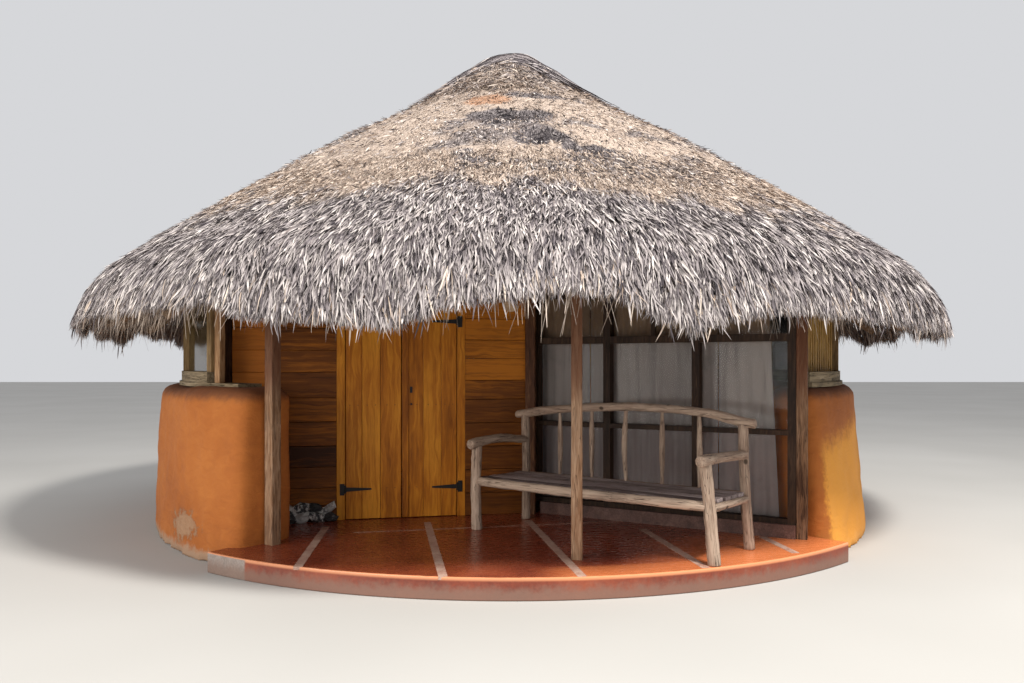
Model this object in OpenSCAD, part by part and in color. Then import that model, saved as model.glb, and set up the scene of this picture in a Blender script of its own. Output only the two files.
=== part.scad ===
// Round thatched hut with a recessed porch, an earth ring wall, a plank front
// with a double door, a glazed front, and a pole bench on the porch slab.
// Millimetres, +Z up, origin on the ground under the roof's apex. The porch
// faces -Y. Plan angles are turned from the front (-Y) towards +X.

/* [Slab] */
// Height of the slab above the ground
slab_h = 150; // [100:10:250]
// How far the porch slab reaches past the wall's foot
porch_out = 160; // [80:10:300]
// Width of the cement strips between the slab's bays
strip_w = 50; // [20:5:80]
// Depth of the cement strips
strip_t = 12; // [6:1:30]
// Spacing of the strips
strip_pitch = 835; // [700:5:950]
// Distance of the first strip from the corner, along the door wall
strip_u = 130; // [0:10:400]
// Distance of the cross strip in front of the door wall
cross_v = 550; // [400:10:800]

/* [Ring wall] */
// Inner radius of the earth wall
wall_in_r = 2980; // [2900:10:3050]
// Thickness of the earth wall at its foot
wall_t = 560; // [500:10:620]
// Height of the earth wall above the slab
wall_h = 1170; // [900:10:1300]
// How far the outer face leans in from foot to top
wall_batter = 50; // [0:5:90]
// Radius of the wall's rounded top edges
wall_round = 140; // [60:10:170]
// Plan angle of the left pier's end face
pier_left_a = 36.5; // [34:0.5:40]
// Plan angle of the right pier's end face
pier_right_a = 44.2; // [43.5:0.1:47]

/* [Upper ring] */
// How far the posts and the ring beam stand from the wall's inner face
post_in = 280; // [250:5:300]
// Side of the square posts
post_s = 92; // [70:2:120]
// Thickness of the flat plate on the wall
plate_t = 35; // [20:5:60]
// Width of the flat plate
plate_w = 210; // [160:10:240]
// Height of the sill beam on the plate
sill_h = 90; // [50:5:120]
// Width of the sill beam
sill_w = 120; // [100:5:150]
// Height of the ring beam
beam_h = 120; // [80:5:160]
// Width of the ring beam
beam_w = 140; // [100:5:160]
// Number of bays of the upper ring round the sides and the back
ring_bays = 12; // [8:1:16]
// Plan angle of the last ring post on the left
ring_left_a = 48.5; // [46:0.5:52]
// Width of the upright slats
slat_w = 50; // [30:5:70]
// Spacing of the slats
slat_pitch = 75; // [60:5:120]
// Thickness of the slats and of the rails that hold them
slat_t = 18; // [10:1:25]

/* [Roof] */
// Pitch of the thatch in degrees
pitch = 33.2; // [31:0.2:35]
// Thickness of the thatch, measured upright
thatch_t = 300; // [200:10:350]
// How far the eave reaches past the ring of posts
eave_out = 990; // [900:10:1100]
// Height of the hanging fringe, from the thatch's outer face to its tips
fringe_h = 280; // [240:10:320]
// How far the fringe's drawn-in foot stands under the thatch
fringe_w = 110; // [80:5:140]
// How far the leaf bundle stands over the point
cap_h = 70; // [50:5:100]
// Radius of the leaf bundle over the point
cap_r = 820; // [600:10:1000]
// Number of long pole rafters
rafters_n = 14; // [10:1:16]
// Diameter of the pole rafters
rafter_d = 90; // [60:5:110]
// How far the rafters end inside the eave
rafter_short = 310; // [290:10:400]
// Height of the rafters' middles over the ring beam
rafter_rise = 27; // [15:1:40]
// Radius at which the jack rafters start
jack_in = 1500; // [1200:50:1800]
// Radius of the hub that the rafters meet
hub_r = 260; // [240:10:320]
// Diameter of the purlin hoops
purlin_d = 50; // [30:5:70]
// Radius of the highest purlin hoop
purlin_in = 700; // [600:50:900]
// Spacing of the purlin hoops in plan
purlin_pitch = 600; // [400:20:700]
// Reach of the eave's course of thatch in plan
eave_course = 1500; // [1200:50:1800]
// Reach of the middle course of thatch in plan
middle_course = 1350; // [1000:50:1500]

/* [Door wall] */
// X of the corner where the two front walls meet
corner_x = 180; // [140:10:220]
// Y of that corner
corner_y = -1423; // [-1500:1:-1350]
// Turn of the door wall from the X axis in degrees
door_wall_a = 12; // [8:0.5:15]
// Thickness of the plank walls
plank_wall_t = 90; // [60:5:120]
// Height of one board of the plank walls
plank_h = 181; // [120:1:220]
// Height of the lowest joint between the boards
plank_z = 138; // [60:1:180]
// Size of the grooves between boards
groove = 6; // [3:1:9]
// Height of the stone plinth left of the door
plinth_h = 165; // [120:5:220]
// Depth of the stone plinth
plinth_t = 95; // [60:5:120]
// Distance from the corner to the door opening's right jamb
door_from_corner = 604; // [560:1:640]
// Width of the door frame's jambs and head
jamb_w = 72; // [50:2:90]
// Width of one door leaf
leaf_w = 482; // [440:1:500]
// Thickness of the door leaves
leaf_t = 40; // [30:1:50]
// Height of the door leaves
leaf_h = 1930; // [1850:10:2000]
// Gap round the leaves
leaf_gap = 6; // [6:1:10]
// Gap between the two leaves
meet_gap = 10; // [9:1:14]
// Width of the batten on the meeting edge
batten_w = 56; // [40:1:70]
// Thickness of the batten
batten_t = 12; // [8:1:20]
// Length of the hinge straps
strap_l = 225; // [180:5:260]
// Thickness of the hinge straps and plates
strap_t = 6; // [4:1:8]

/* [Window wall] */
// Turn of the window wall from the X axis in degrees
window_wall_a = 30.6; // [29:0.1:32]
// How far the windows stand behind the corner post's middle
window_inset = 80; // [70:2:100]
// Depth of the window frame
frame_t = 80; // [60:5:100]
// Width of the frame's uprights
frame_w = 65; // [50:1:80]
// Distance from the corner to the first upright's middle
mullion_1 = 717; // [600:1:800]
// Distance from the corner to the second upright's middle
mullion_2 = 1517; // [1400:1:1600]
// Distance from the corner to the short divider over the transom
divider_u = 1137; // [1000:1:1250]
// Width of the uncurtained strip at the right end
curtain_end = 220; // [150:10:400]
// Depth of the hanging curtains
curtain_t = 40; // [30:5:80]
// Height of the kerb under the windows
kerb_h = 105; // [60:5:150]
// Height of the transom above the slab
transom_z = 1570; // [1500:10:1650]
// Height of the middle rail above the slab
mid_rail_z = 820; // [750:10:900]
// Thickness of the glass
glass_t = 6; // [4:1:8]

/* [Porch posts] */
// Plan angle of the left porch post
post_left_a = -34; // [-36:0.5:-32]
// Plan angle of the front porch post
post_front_a = 8.2; // [5:0.2:12]
// How far the front porch post stands inside the ring
post_front_in = 40; // [0:5:45]
// Plan angle of the right porch post, which laps the ring beam
post_right_a = 42.3; // [41.5:0.1:42.6]

/* [Bench] */
// X of the bench's front left leg
bench_x = -280; // [-320:10:-240]
// Y of the bench's front left leg
bench_y = -2157; // [-2200:1:-2100]
// Turn of the bench from the X axis in degrees
bench_a = -36.5; // [-39:0.5:-34]
// Length of the bench between its legs
bench_l = 2040; // [1900:10:2060]
// Depth of the bench between its legs
bench_d = 620; // [560:10:660]
// Height of the seat above the slab
seat_h = 425; // [380:5:460]
// Height of the arms above the slab
arm_h = 702; // [660:2:760]
// Height of the back rail's ends above the slab
back_h = 930; // [880:5:1000]
// How far the back rail bows up in the middle
back_bow = 80; // [40:5:120]
// How far the tops of the right legs lean in
leg_lean = 50; // [20:5:80]
// Diameter of the bench's legs
leg_d = 85; // [60:5:95]
// Diameter of the bench's back legs
back_leg_d = 72; // [50:2:90]
// Diameter of the arms
arm_d = 58; // [40:2:70]
// Diameter of the back rail
rail_d = 60; // [45:1:70]
// Diameter of the rail along the front of the seat
front_rail_d = 66; // [50:2:76]
// Diameter of the rails under the seat's ends
side_rail_d = 56; // [40:2:64]
// Diameter of the spindles at their middle
spindle_d = 44; // [30:2:50]
// Diameter of the spindles at their ends
spindle_end_d = 24; // [18:1:28]
// Thickness of the seat boards
seat_t = 30; // [20:2:40]

/* [Hidden] */
$fn = 64;

// Clearance of curved seats
seat = 0.3;
wall_out_r = wall_in_r + wall_t;
slab_r = wall_out_r + porch_out;
ring_r = wall_in_r + post_in;
wall_top = slab_h + wall_h;
plate_top = wall_top + seat + plate_t;
sill_top = plate_top + seat + sill_h;
front_wall_h = 2 * leaf_gap + leaf_h + jamb_w;
beam_bottom = slab_h + front_wall_h + seat;
beam_top = beam_bottom + beam_h;
slope = tan(pitch);
// Upright distance from the thatch's underside down to the rafters' middles
rafter_drop = (purlin_d + rafter_d / 2) / cos(pitch) + 3 * seat;
cone_top = beam_top + rafter_rise + rafter_drop + thatch_t + slope * ring_r;
eave_r = ring_r + eave_out;
eave_z = cone_top - slope * eave_r - fringe_h;
rafter_end_r = eave_r - rafter_short;
thatch_split = [eave_r - eave_course - middle_course, eave_r - eave_course];
ring_right_a = 66;
plate_end_a = 2.5;
bay_a = (360 - ring_left_a - ring_right_a) / ring_bays;
bay_edges = [for (i = [0:ring_bays]) ring_right_a + i * bay_a];
corner_turn = 10;
door_opening_w = 2 * leaf_w + meet_gap + 2 * leaf_gap;
door_left_u = door_from_corner + door_opening_w + 2 * jamb_w;
// Where the plank wall meets the corner post
corner_reach = seat + post_s / 2 * (cos(door_wall_a + corner_turn) + sin(door_wall_a + corner_turn));
// Bow of the bench's back rail: half its span, its radius, and the turn of its ends
back_half = (bench_l - leg_lean) / 2;
bow_r = (back_half * back_half + back_bow * back_bow) / (2 * back_bow);
bow_end_a = asin((back_half + leg_d / 2) / bow_r);
knob_d = rail_d * 1.1;
// Tops of the bench's legs, under the arms and under the back rail's knobs
front_leg_top = arm_h - arm_d / 2 - seat;
back_leg_top = back_h + back_bow - bow_r * (1 - cos(bow_end_a)) - knob_d / 2 - seat;
seat_rail_d = 50;
// Boards of the leaves, counted from the hinges
leaf_boards = [0.29, 0.62];
spindles = 5;
hinge_pin_v = 9;
pin_d = 7;
eye_d = 14;
eye_h = 40;
end_eye_h = 14;
strap_tip = 15;
plate_size = [40, 100];
hinge_z = [266, leaf_h - 190];

// Plan point at a radius and an angle from the front
function polar(r, a) = [r * sin(a), -r * cos(a)];
// Height of the thatch's outer face and of its underside
function thatch_z(r) = cone_top - slope * r;
function under_z(r) = thatch_z(r) - thatch_t;
// Points of an arc, for outlines
function arc_points(c, r, a0, a1, n) =
  [for (i = [0:n]) c + r * [cos(a0 + (a1 - a0) * i / n), sin(a0 + (a1 - a0) * i / n)]];

// Turns an outline round the hut's axis between two plan angles
module sweep(a0, a1) {
  rotate([0, 0, a0 - 90])
    rotate_extrude(angle = a1 - a0, $fn = 256)
      children();
}

// Stands children on the door wall: X runs left from the corner, Y outwards
module at_door_wall() {
  translate([corner_x, corner_y, slab_h])
    rotate([0, 0, 180 + door_wall_a])
      children();
}

// Stands children on the window wall: X runs right from the corner, Y inwards
module at_window_wall() {
  translate([corner_x, corner_y, slab_h])
    rotate([0, 0, -window_wall_a])
      children();
}

// Stands children on the bench: X along its front, Y to its back
module at_bench() {
  translate([bench_x, bench_y, slab_h])
    rotate([0, 0, bench_a])
      children();
}

// A round pole between two points, tapered where two diameters are given
module pole(p, q, d, d_end = 0) {
  v = q - p;
  translate(p)
    rotate([0, acos(v[2] / norm(v)), atan2(v[1], v[0])])
      cylinder(d1 = d, d2 = d_end > 0 ? d_end : d, h = norm(v), $fn = 24);
}

// Grid of strips in the porch floor, square to the door wall
module strip_grid() {
  clear_of_walls = window_inset + 40;
  start_v = corner_reach;
  at_door_wall()
    translate([0, 0, -strip_t]) {
      for (i = [-2:2]) {
        u = strip_u + i * strip_pitch;
        v = max(clear_of_walls, start_v - u * tan(door_wall_a + window_wall_a));
        translate([u - strip_w / 2, v, 0])
          cube([strip_w, slab_r, strip_t]);
      }
      translate([strip_u - cross_v, cross_v - strip_w / 2, 0])
        cube([wall_in_r * 0.64, strip_w, strip_t]);
    }
}

module slab_blank() {
  cylinder(r = wall_in_r - seat, h = slab_h, $fn = 180);
}

module porch_blank() {
  sweep(-pier_left_a, pier_right_a)
    translate([wall_in_r - seat, 0])
      square([slab_r - wall_in_r + seat, slab_h]);
}

module floor_slab() {
  color("#9a4a36")
    difference() {
      slab_blank();
      strip_grid();
    }
}

module porch_slab() {
  color("#a8452c")
    difference() {
      porch_blank();
      strip_grid();
    }
}

module porch_strips() {
  color("#d8c4b0")
    intersection() {
      strip_grid();
      union() {
        slab_blank();
        porch_blank();
      }
    }
}

// Section of the earth wall: leaning outer face and rounded top
module wall_section() {
  top_out = wall_out_r - wall_batter;
  polygon(concat(
    [[wall_in_r, 0], [wall_out_r, 0]],
    arc_points([top_out - wall_round, wall_top - wall_round], wall_round, 0, 90, 6),
    arc_points([wall_in_r + wall_round, wall_top - wall_round], wall_round, 90, 180, 6)
  ));
}

module wall_run(a0, a1) {
  color("#c06a35")
    sweep(a0, a1)
      wall_section();
}

// Upright with a domed top, for the rounded end of a pier
module pier_corner(r, a) {
  p = polar(r, a);
  translate([p[0], p[1], 0])
    rotate_extrude($fn = 32)
      polygon(concat([[0, 0], [wall_round, 0]],
        arc_points([0, wall_top - wall_round], wall_round, 0, 90, 6)));
}

// End of the earth wall, with a rounded nose, its inner face cut to the wall's radius
module pier(a_end, a_wall) {
  to_end = sign(a_end - a_wall);
  turn = -to_end * asin(wall_round / wall_in_r);
  color("#c06a35")
    difference() {
      hull() {
        pier_corner(wall_out_r - wall_batter / 2 - wall_round, a_end + turn);
        pier_corner(wall_in_r + wall_round, a_end + turn);
        rotate([0, 0, a_wall - 90])
          translate([0, to_end * (0.5 + seat), 0])
            rotate([90, 0, 0])
              linear_extrude(1, center = true)
                wall_section();
      }
      translate([0, 0, -1])
        cylinder(r = wall_in_r, h = wall_top + 2, $fn = 180);
    }
}

pier_span = 14;
left_joint = -pier_left_a - pier_span;
right_joint = pier_right_a + pier_span;
run_a = (360 - (right_joint - left_joint)) / 5;

module left_pier() { pier(-pier_left_a, left_joint); }
module right_pier() { pier(pier_right_a, right_joint); }
module ring_wall_right() { wall_run(right_joint, right_joint + run_a); }
module ring_wall_back_right() { wall_run(right_joint + run_a, right_joint + 2 * run_a); }
module ring_wall_back() { wall_run(right_joint + 2 * run_a, right_joint + 3 * run_a); }
module ring_wall_back_left() { wall_run(right_joint + 3 * run_a, right_joint + 4 * run_a); }
module ring_wall_left() { wall_run(right_joint + 4 * run_a, right_joint + 5 * run_a); }

// Flat plate on the wall, from pier to pier
module wall_plate() {
  color("#8d8175")
    sweep(pier_right_a + plate_end_a, 360 - pier_left_a - plate_end_a)
      translate([ring_r - plate_w * 0.62, wall_top + seat])
        square([plate_w, plate_t]);
}

// One length of the sill beam
module sill_length(a0, a1) {
  sweep(a0, a1)
    translate([ring_r - sill_w / 2, plate_top + seat])
      square([sill_w, sill_h]);
}

// Sill beam on the plate, one length to each bay
module sill_beam() {
  color("#8d8175") {
    sill_length(pier_right_a + plate_end_a, ring_right_a - 0.05);
    for (i = [0:ring_bays - 1])
      sill_length(bay_edges[i] + 0.05, bay_edges[i + 1] - 0.05);
  }
}

module ring_posts() {
  color("#8a5a38")
    for (a = bay_edges)
      rotate([0, 0, a])
        translate([-post_s / 2, -ring_r - post_s / 2, sill_top])
          cube([post_s, post_s, beam_bottom - seat - sill_top]);
}

bay_h = beam_bottom - sill_top - 2 * seat;
// Clear width between two ring posts, and distance of the bay's middle from the axis
bay_w = 2 * ring_r * sin(bay_a / 2) - post_s - 8;
bay_r = ring_r * cos(bay_a / 2);

// Pane between two ring posts
module side_pane(i) {
  rotate([0, 0, (bay_edges[i] + bay_edges[i + 1]) / 2])
    translate([-bay_w / 2, -bay_r - glass_t / 2, sill_top + seat])
      cube([bay_w, glass_t, bay_h]);
}

module side_glass() {
  color("#8fa3a8")
    for (i = [1:2:ring_bays - 1])
      side_pane(i);
}

// Upright slats on two rails, X along the bay and Y inwards
module slat_bay(w) {
  n = floor((w - slat_w) / slat_pitch);
  x0 = (w - n * slat_pitch - slat_w) / 2;
  rail_h = 40;
  for (z = [rail_h, bay_h - 2 * rail_h])
    translate([0, slat_t - 0.5, z])
      cube([w, slat_t, rail_h]);
  for (i = [0:n])
    translate([x0 + i * slat_pitch, 0, 0])
      cube([slat_w, slat_t, bay_h]);
}

module slat_panels() {
  color("#8f6a3a") {
    for (i = [0:2:ring_bays - 1])
      rotate([0, 0, (bay_edges[i] + bay_edges[i + 1]) / 2])
        translate([-bay_w / 2, -bay_r - slat_t, sill_top + seat])
          slat_bay(bay_w);
    p = polar(ring_r, pier_right_a);
    q = polar(ring_r, ring_right_a);
    d = q - p;
    end_gap = post_s / 2 + 25;
    translate([p[0], p[1], sill_top + seat])
      rotate([0, 0, atan2(d[1], d[0])])
        translate([end_gap, -slat_t, 0])
          slat_bay(norm(d) - 2 * end_gap);
  }
}

beam_edges = concat([post_right_a], bay_edges, [360 + post_left_a, 360 + post_front_a, 360 + post_right_a]);

// Ring beam in lengths that butt over the posts
module ring_beam() {
  color("#6e4a30")
    for (i = [0:len(beam_edges) - 2])
      sweep(beam_edges[i] + 0.02, beam_edges[i + 1] - 0.02)
        translate([ring_r - beam_w / 2, beam_bottom])
          square([beam_w, beam_h]);
}

// Square post on the slab, turned to face a plan angle
module square_post(p, turn, top) {
  translate([p[0], p[1], slab_h])
    rotate([0, 0, turn])
      translate([-post_s / 2, -post_s / 2, 0])
        cube([post_s, post_s, top - slab_h]);
}

right_post = polar(ring_r + beam_w / 2 + post_s * 0.7 + seat, post_right_a);

module porch_posts() {
  color("#8f7560") {
    square_post(polar(ring_r, post_left_a), post_left_a, beam_bottom - seat);
    square_post(polar(ring_r - post_front_in, post_front_a), post_front_a, beam_bottom - seat);
    square_post(right_post, -window_wall_a, beam_top);
  }
}

// Grooves between the boards of a plank wall, across a face at Y = 0
module plank_grooves(u0, u1) {
  for (z = [plank_z:plank_h:front_wall_h])
    translate([u0 - 1, 0, z])
      rotate([45, 0, 0])
        translate([0, -groove / 2, -groove / 2])
          cube([u1 - u0 + 2, groove, groove]);
}

// Plank wall between two places along the door wall and two heights
module plank_field(u0, u1, z0, z1) {
  at_door_wall()
    difference() {
      translate([u0, -plank_wall_t, z0])
        cube([u1 - u0, plank_wall_t, z1 - z0]);
      plank_grooves(u0, u1);
    }
}

module door_wall_left() {
  u0 = door_left_u + seat;
  u1 = door_left_u + wall_in_r / 2;
  color("#7a451f") {
    intersection() {
      plank_field(u0, u1, 0, wall_h);
      cylinder(r = wall_in_r - seat, h = wall_top, $fn = 180);
    }
    intersection() {
      plank_field(u0, u1, wall_h, front_wall_h);
      cylinder(r = ring_r - plate_w, h = beam_top, $fn = 180);
    }
  }
}

module door_wall_right() {
  color("#9c5a1e")
    plank_field(corner_reach, door_from_corner - seat, 0, front_wall_h);
}

// Axis of the hut seen from the door wall's frame and the window wall's frame
door_axis = [corner_x * cos(door_wall_a) + corner_y * sin(door_wall_a),
  -corner_x * sin(door_wall_a) + corner_y * cos(door_wall_a)];
window_axis = [-corner_x * cos(window_wall_a) + corner_y * sin(window_wall_a),
  -corner_x * sin(window_wall_a) - corner_y * cos(window_wall_a)];
// Thickness of the boards over the two front walls, and their clearance under the rafters
gable_t = 30;
gable_drop = (purlin_d + rafter_d) / cos(pitch) + 60;

// Raking board panel between a front wall and the rafters, as far as a radius
module gable(u0, axis, r1) {
  u1 = axis[0] + sqrt(r1 * r1 - axis[1] * axis[1]);
  n = 10;
  function top(u) = under_z(norm([u, 0] - axis)) - gable_drop - slab_h - front_wall_h;
  polygon(concat([[u0, 0], [u1, 0]],
    [for (i = [n:-1:0]) let (u = u0 + (u1 - u0) * i / n) [u, top(u)]]));
}

module door_wall_gable() {
  color("#7a451f")
    at_door_wall()
      translate([0, (gable_t - plank_wall_t) / 2, front_wall_h])
        rotate([90, 0, 0])
          linear_extrude(gable_t)
            gable(corner_reach, door_axis, wall_in_r);
}

module stone_plinth() {
  color("#77706a")
    intersection() {
      at_door_wall()
        translate([door_left_u + 5, 0, 0])
          cube([wall_in_r / 2, plinth_t, plinth_h]);
      cylinder(r = wall_in_r - seat, h = wall_top, $fn = 180);
    }
}

module door_frame() {
  color("#8a5323")
    at_door_wall()
      translate([door_from_corner, -plank_wall_t, 0])
        difference() {
          cube([door_left_u - door_from_corner, plank_wall_t, front_wall_h]);
          translate([jamb_w, -1, -1])
            cube([door_opening_w, plank_wall_t + 2, front_wall_h - jamb_w + 1]);
        }
}

// One leaf from its hinge side, X towards the meeting edge, with grooves between its boards
module leaf_blank() {
  translate([0, 0, leaf_gap])
    difference() {
      translate([0, -leaf_t, 0])
        cube([leaf_w, leaf_t, leaf_h]);
      for (share = leaf_boards)
        translate([share * leaf_w, 0, -1])
          rotate([0, 0, 45])
            translate([-groove / 2, -groove / 2, 0])
              cube([groove, groove, leaf_h + 2]);
    }
}

module door_leaf_left() {
  color("#a5672c")
    at_door_wall()
      translate([door_left_u - jamb_w - leaf_gap, 0, 0])
        mirror([1, 0, 0])
          leaf_blank();
}

// Right leaf, with the batten that covers the gap between the leaves
module door_leaf_right() {
  overhang = 4;
  color("#a5672c")
    at_door_wall()
      translate([door_from_corner + jamb_w + leaf_gap, 0, 0]) {
        leaf_blank();
        translate([leaf_w + overhang - batten_w, 0, leaf_gap + 10])
          cube([batten_w, batten_t, leaf_h - 20]);
      }
}

// Tapered strap of a T hinge, its eye bored for the pin
module strap() {
  difference() {
    union() {
      translate([0, strap_t, 0])
        rotate([90, 0, 0])
          linear_extrude(strap_t) {
            polygon([[0, -eye_h / 2], [strap_l - strap_tip / 2, -strap_tip / 2],
              [strap_l - strap_tip / 2, strap_tip / 2], [0, eye_h / 2]]);
            translate([strap_l - strap_tip / 2, 0])
              circle(d = strap_tip, $fn = 32);
          }
      translate([0, hinge_pin_v, -eye_h / 2])
        cylinder(d = eye_d, h = eye_h);
    }
    translate([0, hinge_pin_v, -eye_h])
      cylinder(d = pin_d + 0.2, h = 2 * eye_h);
  }
}

// Plate on the jamb, with an eye above and below the strap's and the pin
module strap_plate() {
  translate([-plate_size[0] - 8, 0, -plate_size[1] / 2])
    cube([plate_size[0], strap_t, plate_size[1]]);
  for (z = [eye_h / 2 + seat, -eye_h / 2 - seat - end_eye_h]) {
    translate([-20, 0, z])
      cube([20, strap_t, end_eye_h]);
    translate([0, hinge_pin_v, z])
      cylinder(d = eye_d, h = end_eye_h);
  }
  translate([0, hinge_pin_v, -eye_h / 2 - end_eye_h])
    cylinder(d = pin_d, h = eye_h + 2 * end_eye_h);
}

left_pin_u = door_left_u - jamb_w - leaf_gap / 2;
right_pin_u = door_from_corner + jamb_w + leaf_gap / 2;

// Stands children at the pins of one leaf, X towards the leaf
module at_pins(u, mirrored) {
  at_door_wall()
    for (z = hinge_z)
      translate([u, 0, z])
        mirror([mirrored, 0, 0])
          children();
}

module left_hinges() {
  color("#1c1a19")
    at_pins(left_pin_u, 1)
      strap();
}

module right_hinges() {
  color("#1c1a19")
    at_pins(right_pin_u, 0)
      strap();
}

module hinge_plates() {
  color("#1c1a19") {
    at_pins(left_pin_u, 1)
      strap_plate();
    at_pins(right_pin_u, 0)
      strap_plate();
  }
}

module corner_post() {
  color("#6e3f26")
    translate([corner_x, corner_y, slab_h])
      rotate([0, 0, -corner_turn])
        translate([-post_s / 2, -post_s / 2, 0])
          cube([post_s, post_s, front_wall_h]);
}

// Where the right porch post stands along the window wall
right_post_u = (right_post[0] - corner_x) * cos(window_wall_a) - (right_post[1] - corner_y) * sin(window_wall_a);
frame_u0 = -30;
frame_l = right_post_u - post_s / 2 - seat - frame_u0;
uprights = [mullion_1 - frame_u0, mullion_2 - frame_u0];
bottom_rail_h = 40;
mid_rail_h = 40;
transom_h = 60;
head_h = 60;
divider_w = 36;

module window_kerb() {
  front = 30;
  u0 = post_s * 0.75;
  color("#8a4030")
    at_window_wall()
      translate([u0, window_inset - front, 0])
        cube([frame_l + frame_u0 - u0, frame_t + 2 * front, kerb_h]);
}

// Heights of the three rows of panes, from the kerb up
pane_rows = [
  [bottom_rail_h, mid_rail_z - kerb_h - mid_rail_h / 2],
  [mid_rail_z - kerb_h + mid_rail_h / 2, transom_z - kerb_h - transom_h / 2],
  [transom_z - kerb_h + transom_h / 2, front_wall_h - kerb_h - head_h]
];

module window_frame() {
  divider_x = divider_u - frame_u0 - divider_w / 2;
  color("#3a2c22")
    at_window_wall()
      translate([frame_u0, window_inset, kerb_h]) {
        difference() {
          cube([frame_l, frame_t, front_wall_h - kerb_h]);
          for (i = [0:2]) {
            u0 = i == 0 ? frame_w : uprights[i - 1] + frame_w / 2;
            u1 = i == 2 ? frame_l - frame_w : uprights[i] - frame_w / 2;
            for (row = pane_rows)
              translate([u0, -1, row[0]])
                cube([u1 - u0, frame_t + 2, row[1] - row[0]]);
          }
        }
        translate([divider_x, frame_t / 4, pane_rows[2][0] - 0.5])
          cube([divider_w, frame_t / 2, pane_rows[2][1] - pane_rows[2][0] + 1]);
      }
}

module window_glass() {
  color("#93a7b0")
    at_window_wall()
      translate([frame_u0 + 1, window_inset + frame_t, kerb_h])
        cube([frame_l - 2, glass_t, front_wall_h - kerb_h]);
}

module curtains() {
  start = 40;
  lift = 25;
  color("#d8d2c8")
    at_window_wall()
      translate([frame_u0 + start, window_inset + frame_t + glass_t + seat, kerb_h + lift])
        cube([frame_l - start - curtain_end, curtain_t, front_wall_h - kerb_h - lift - head_h / 2]);
}

module window_wall_gable() {
  color("#7a451f")
    at_window_wall()
      translate([0, window_inset + (frame_t + gable_t) / 2, front_wall_h])
        rotate([90, 0, 0])
          linear_extrude(gable_t)
            gable(0, window_axis, ring_r - plate_w);
}

// Height of a rafter's middle at a radius
function rafter_z(r) = under_z(r) - rafter_drop;

module rafter_run(r0) {
  notch = 1;
  difference() {
    pole([0, -r0, rafter_z(r0)], [0, -rafter_end_r, rafter_z(rafter_end_r)], rafter_d);
    cylinder(r = hub_r + seat, h = cone_top);
    translate([-rafter_d, -ring_r - beam_w / 2 - notch, 0])
      cube([2 * rafter_d, beam_w + 2 * notch, beam_top + seat]);
  }
}

module rafters() {
  color("#7b5b3e")
    for (i = [0:rafters_n - 1])
      rotate([0, 0, i * 360 / rafters_n])
        rafter_run(hub_r - rafter_d);
}

module jack_rafters() {
  color("#7b5b3e")
    for (i = [0:rafters_n - 1])
      rotate([0, 0, (i + 0.5) * 360 / rafters_n])
        rafter_run(jack_in);
}

module purlins() {
  color("#8b6b4a")
    for (r = [purlin_in:purlin_pitch:rafter_end_r - rafter_d])
      rotate_extrude($fn = 120)
        translate([r, under_z(r) - purlin_d / 2 / cos(pitch) - seat])
          circle(d = purlin_d);
}

module roof_hub() {
  hub_h = 2.5 * rafter_d;
  color("#7b5b3e")
    translate([0, 0, rafter_z(hub_r) - hub_h * 0.57])
      cylinder(r = hub_r, h = hub_h);
}

// Section of the thatch between two radii
module thatch_section(r0, r1) {
  polygon([[r0, under_z(r0)], [r1, under_z(r1)], [r1, thatch_z(r1)], [r0, thatch_z(r0)]]);
}

// Section of the eave, with the hanging fringe
module eave_section() {
  r0 = thatch_split[1];
  lip = 40;
  polygon([
    [r0, thatch_z(r0)],
    [eave_r - fringe_h * 1.25, thatch_z(eave_r - fringe_h * 1.25)],
    [eave_r - 3 * lip, eave_z + fringe_h * 0.9],
    [eave_r - lip, eave_z + fringe_h * 0.43],
    [eave_r, eave_z + lip / 2],
    [eave_r - lip, eave_z],
    [eave_r - fringe_w, eave_z],
    [eave_r - fringe_w - 2 * lip, eave_z + fringe_h * 0.43],
    [eave_r - fringe_w - 4 * lip, under_z(eave_r - fringe_w - 4 * lip)],
    [r0, under_z(r0)]
  ]);
}

module eave_part(a) {
  color("#9d8f84")
    sweep(a - 45, a + 45)
      eave_section();
}

module thatch_eave_front() { eave_part(0); }
module thatch_eave_right() { eave_part(90); }
module thatch_eave_back() { eave_part(180); }
module thatch_eave_left() { eave_part(270); }

module thatch_middle() {
  color("#b09880")
    rotate_extrude($fn = 180)
      thatch_section(thatch_split[0], thatch_split[1] - seat);
}

module thatch_upper() {
  crown_r = 60;
  color("#b09880")
    rotate_extrude($fn = 180)
      thatch_section(crown_r, thatch_split[0] - seat);
}

// Leaf bundle over the point: shares of its radius, and how far it stands over the cone there
cap_rise = [[0, 1], [0.18, 1.6], [0.34, 1.25], [0.75, 1.1], [1, 0.43]];

module thatch_cap() {
  color("#8d8478")
    rotate_extrude($fn = 96)
      polygon(concat(
        [for (p = cap_rise) [p[0] * cap_r, thatch_z(p[0] * cap_r) + p[1] * cap_h]],
        [[cap_r, thatch_z(cap_r) + seat], [0, cone_top + seat]]));
}

// Leg of the bench, its foot and top cut level
module bench_leg(x, y, d, h, lean) {
  spare = 40;
  intersection() {
    pole([x + lean * spare / h, y, -spare], [x - lean * (1 + spare / h), y, h + spare], d);
    translate([x - h / 2, y - d, 0])
      cube([h, 2 * d, h]);
  }
}

module bench_legs() {
  color("#9a8878")
    at_bench()
      for (right = [0, 1]) {
        bench_leg(right * bench_l, 0, leg_d, front_leg_top, right * leg_lean);
        bench_leg(right * bench_l, bench_d, back_leg_d, back_leg_top, right * leg_lean);
      }
}

// Inner side of a right leg at a height, just clear of it
function right_leg_x(z, d, h) = bench_l - leg_lean * z / h - d / 2 * norm([leg_lean, h]) / h - seat;

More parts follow.
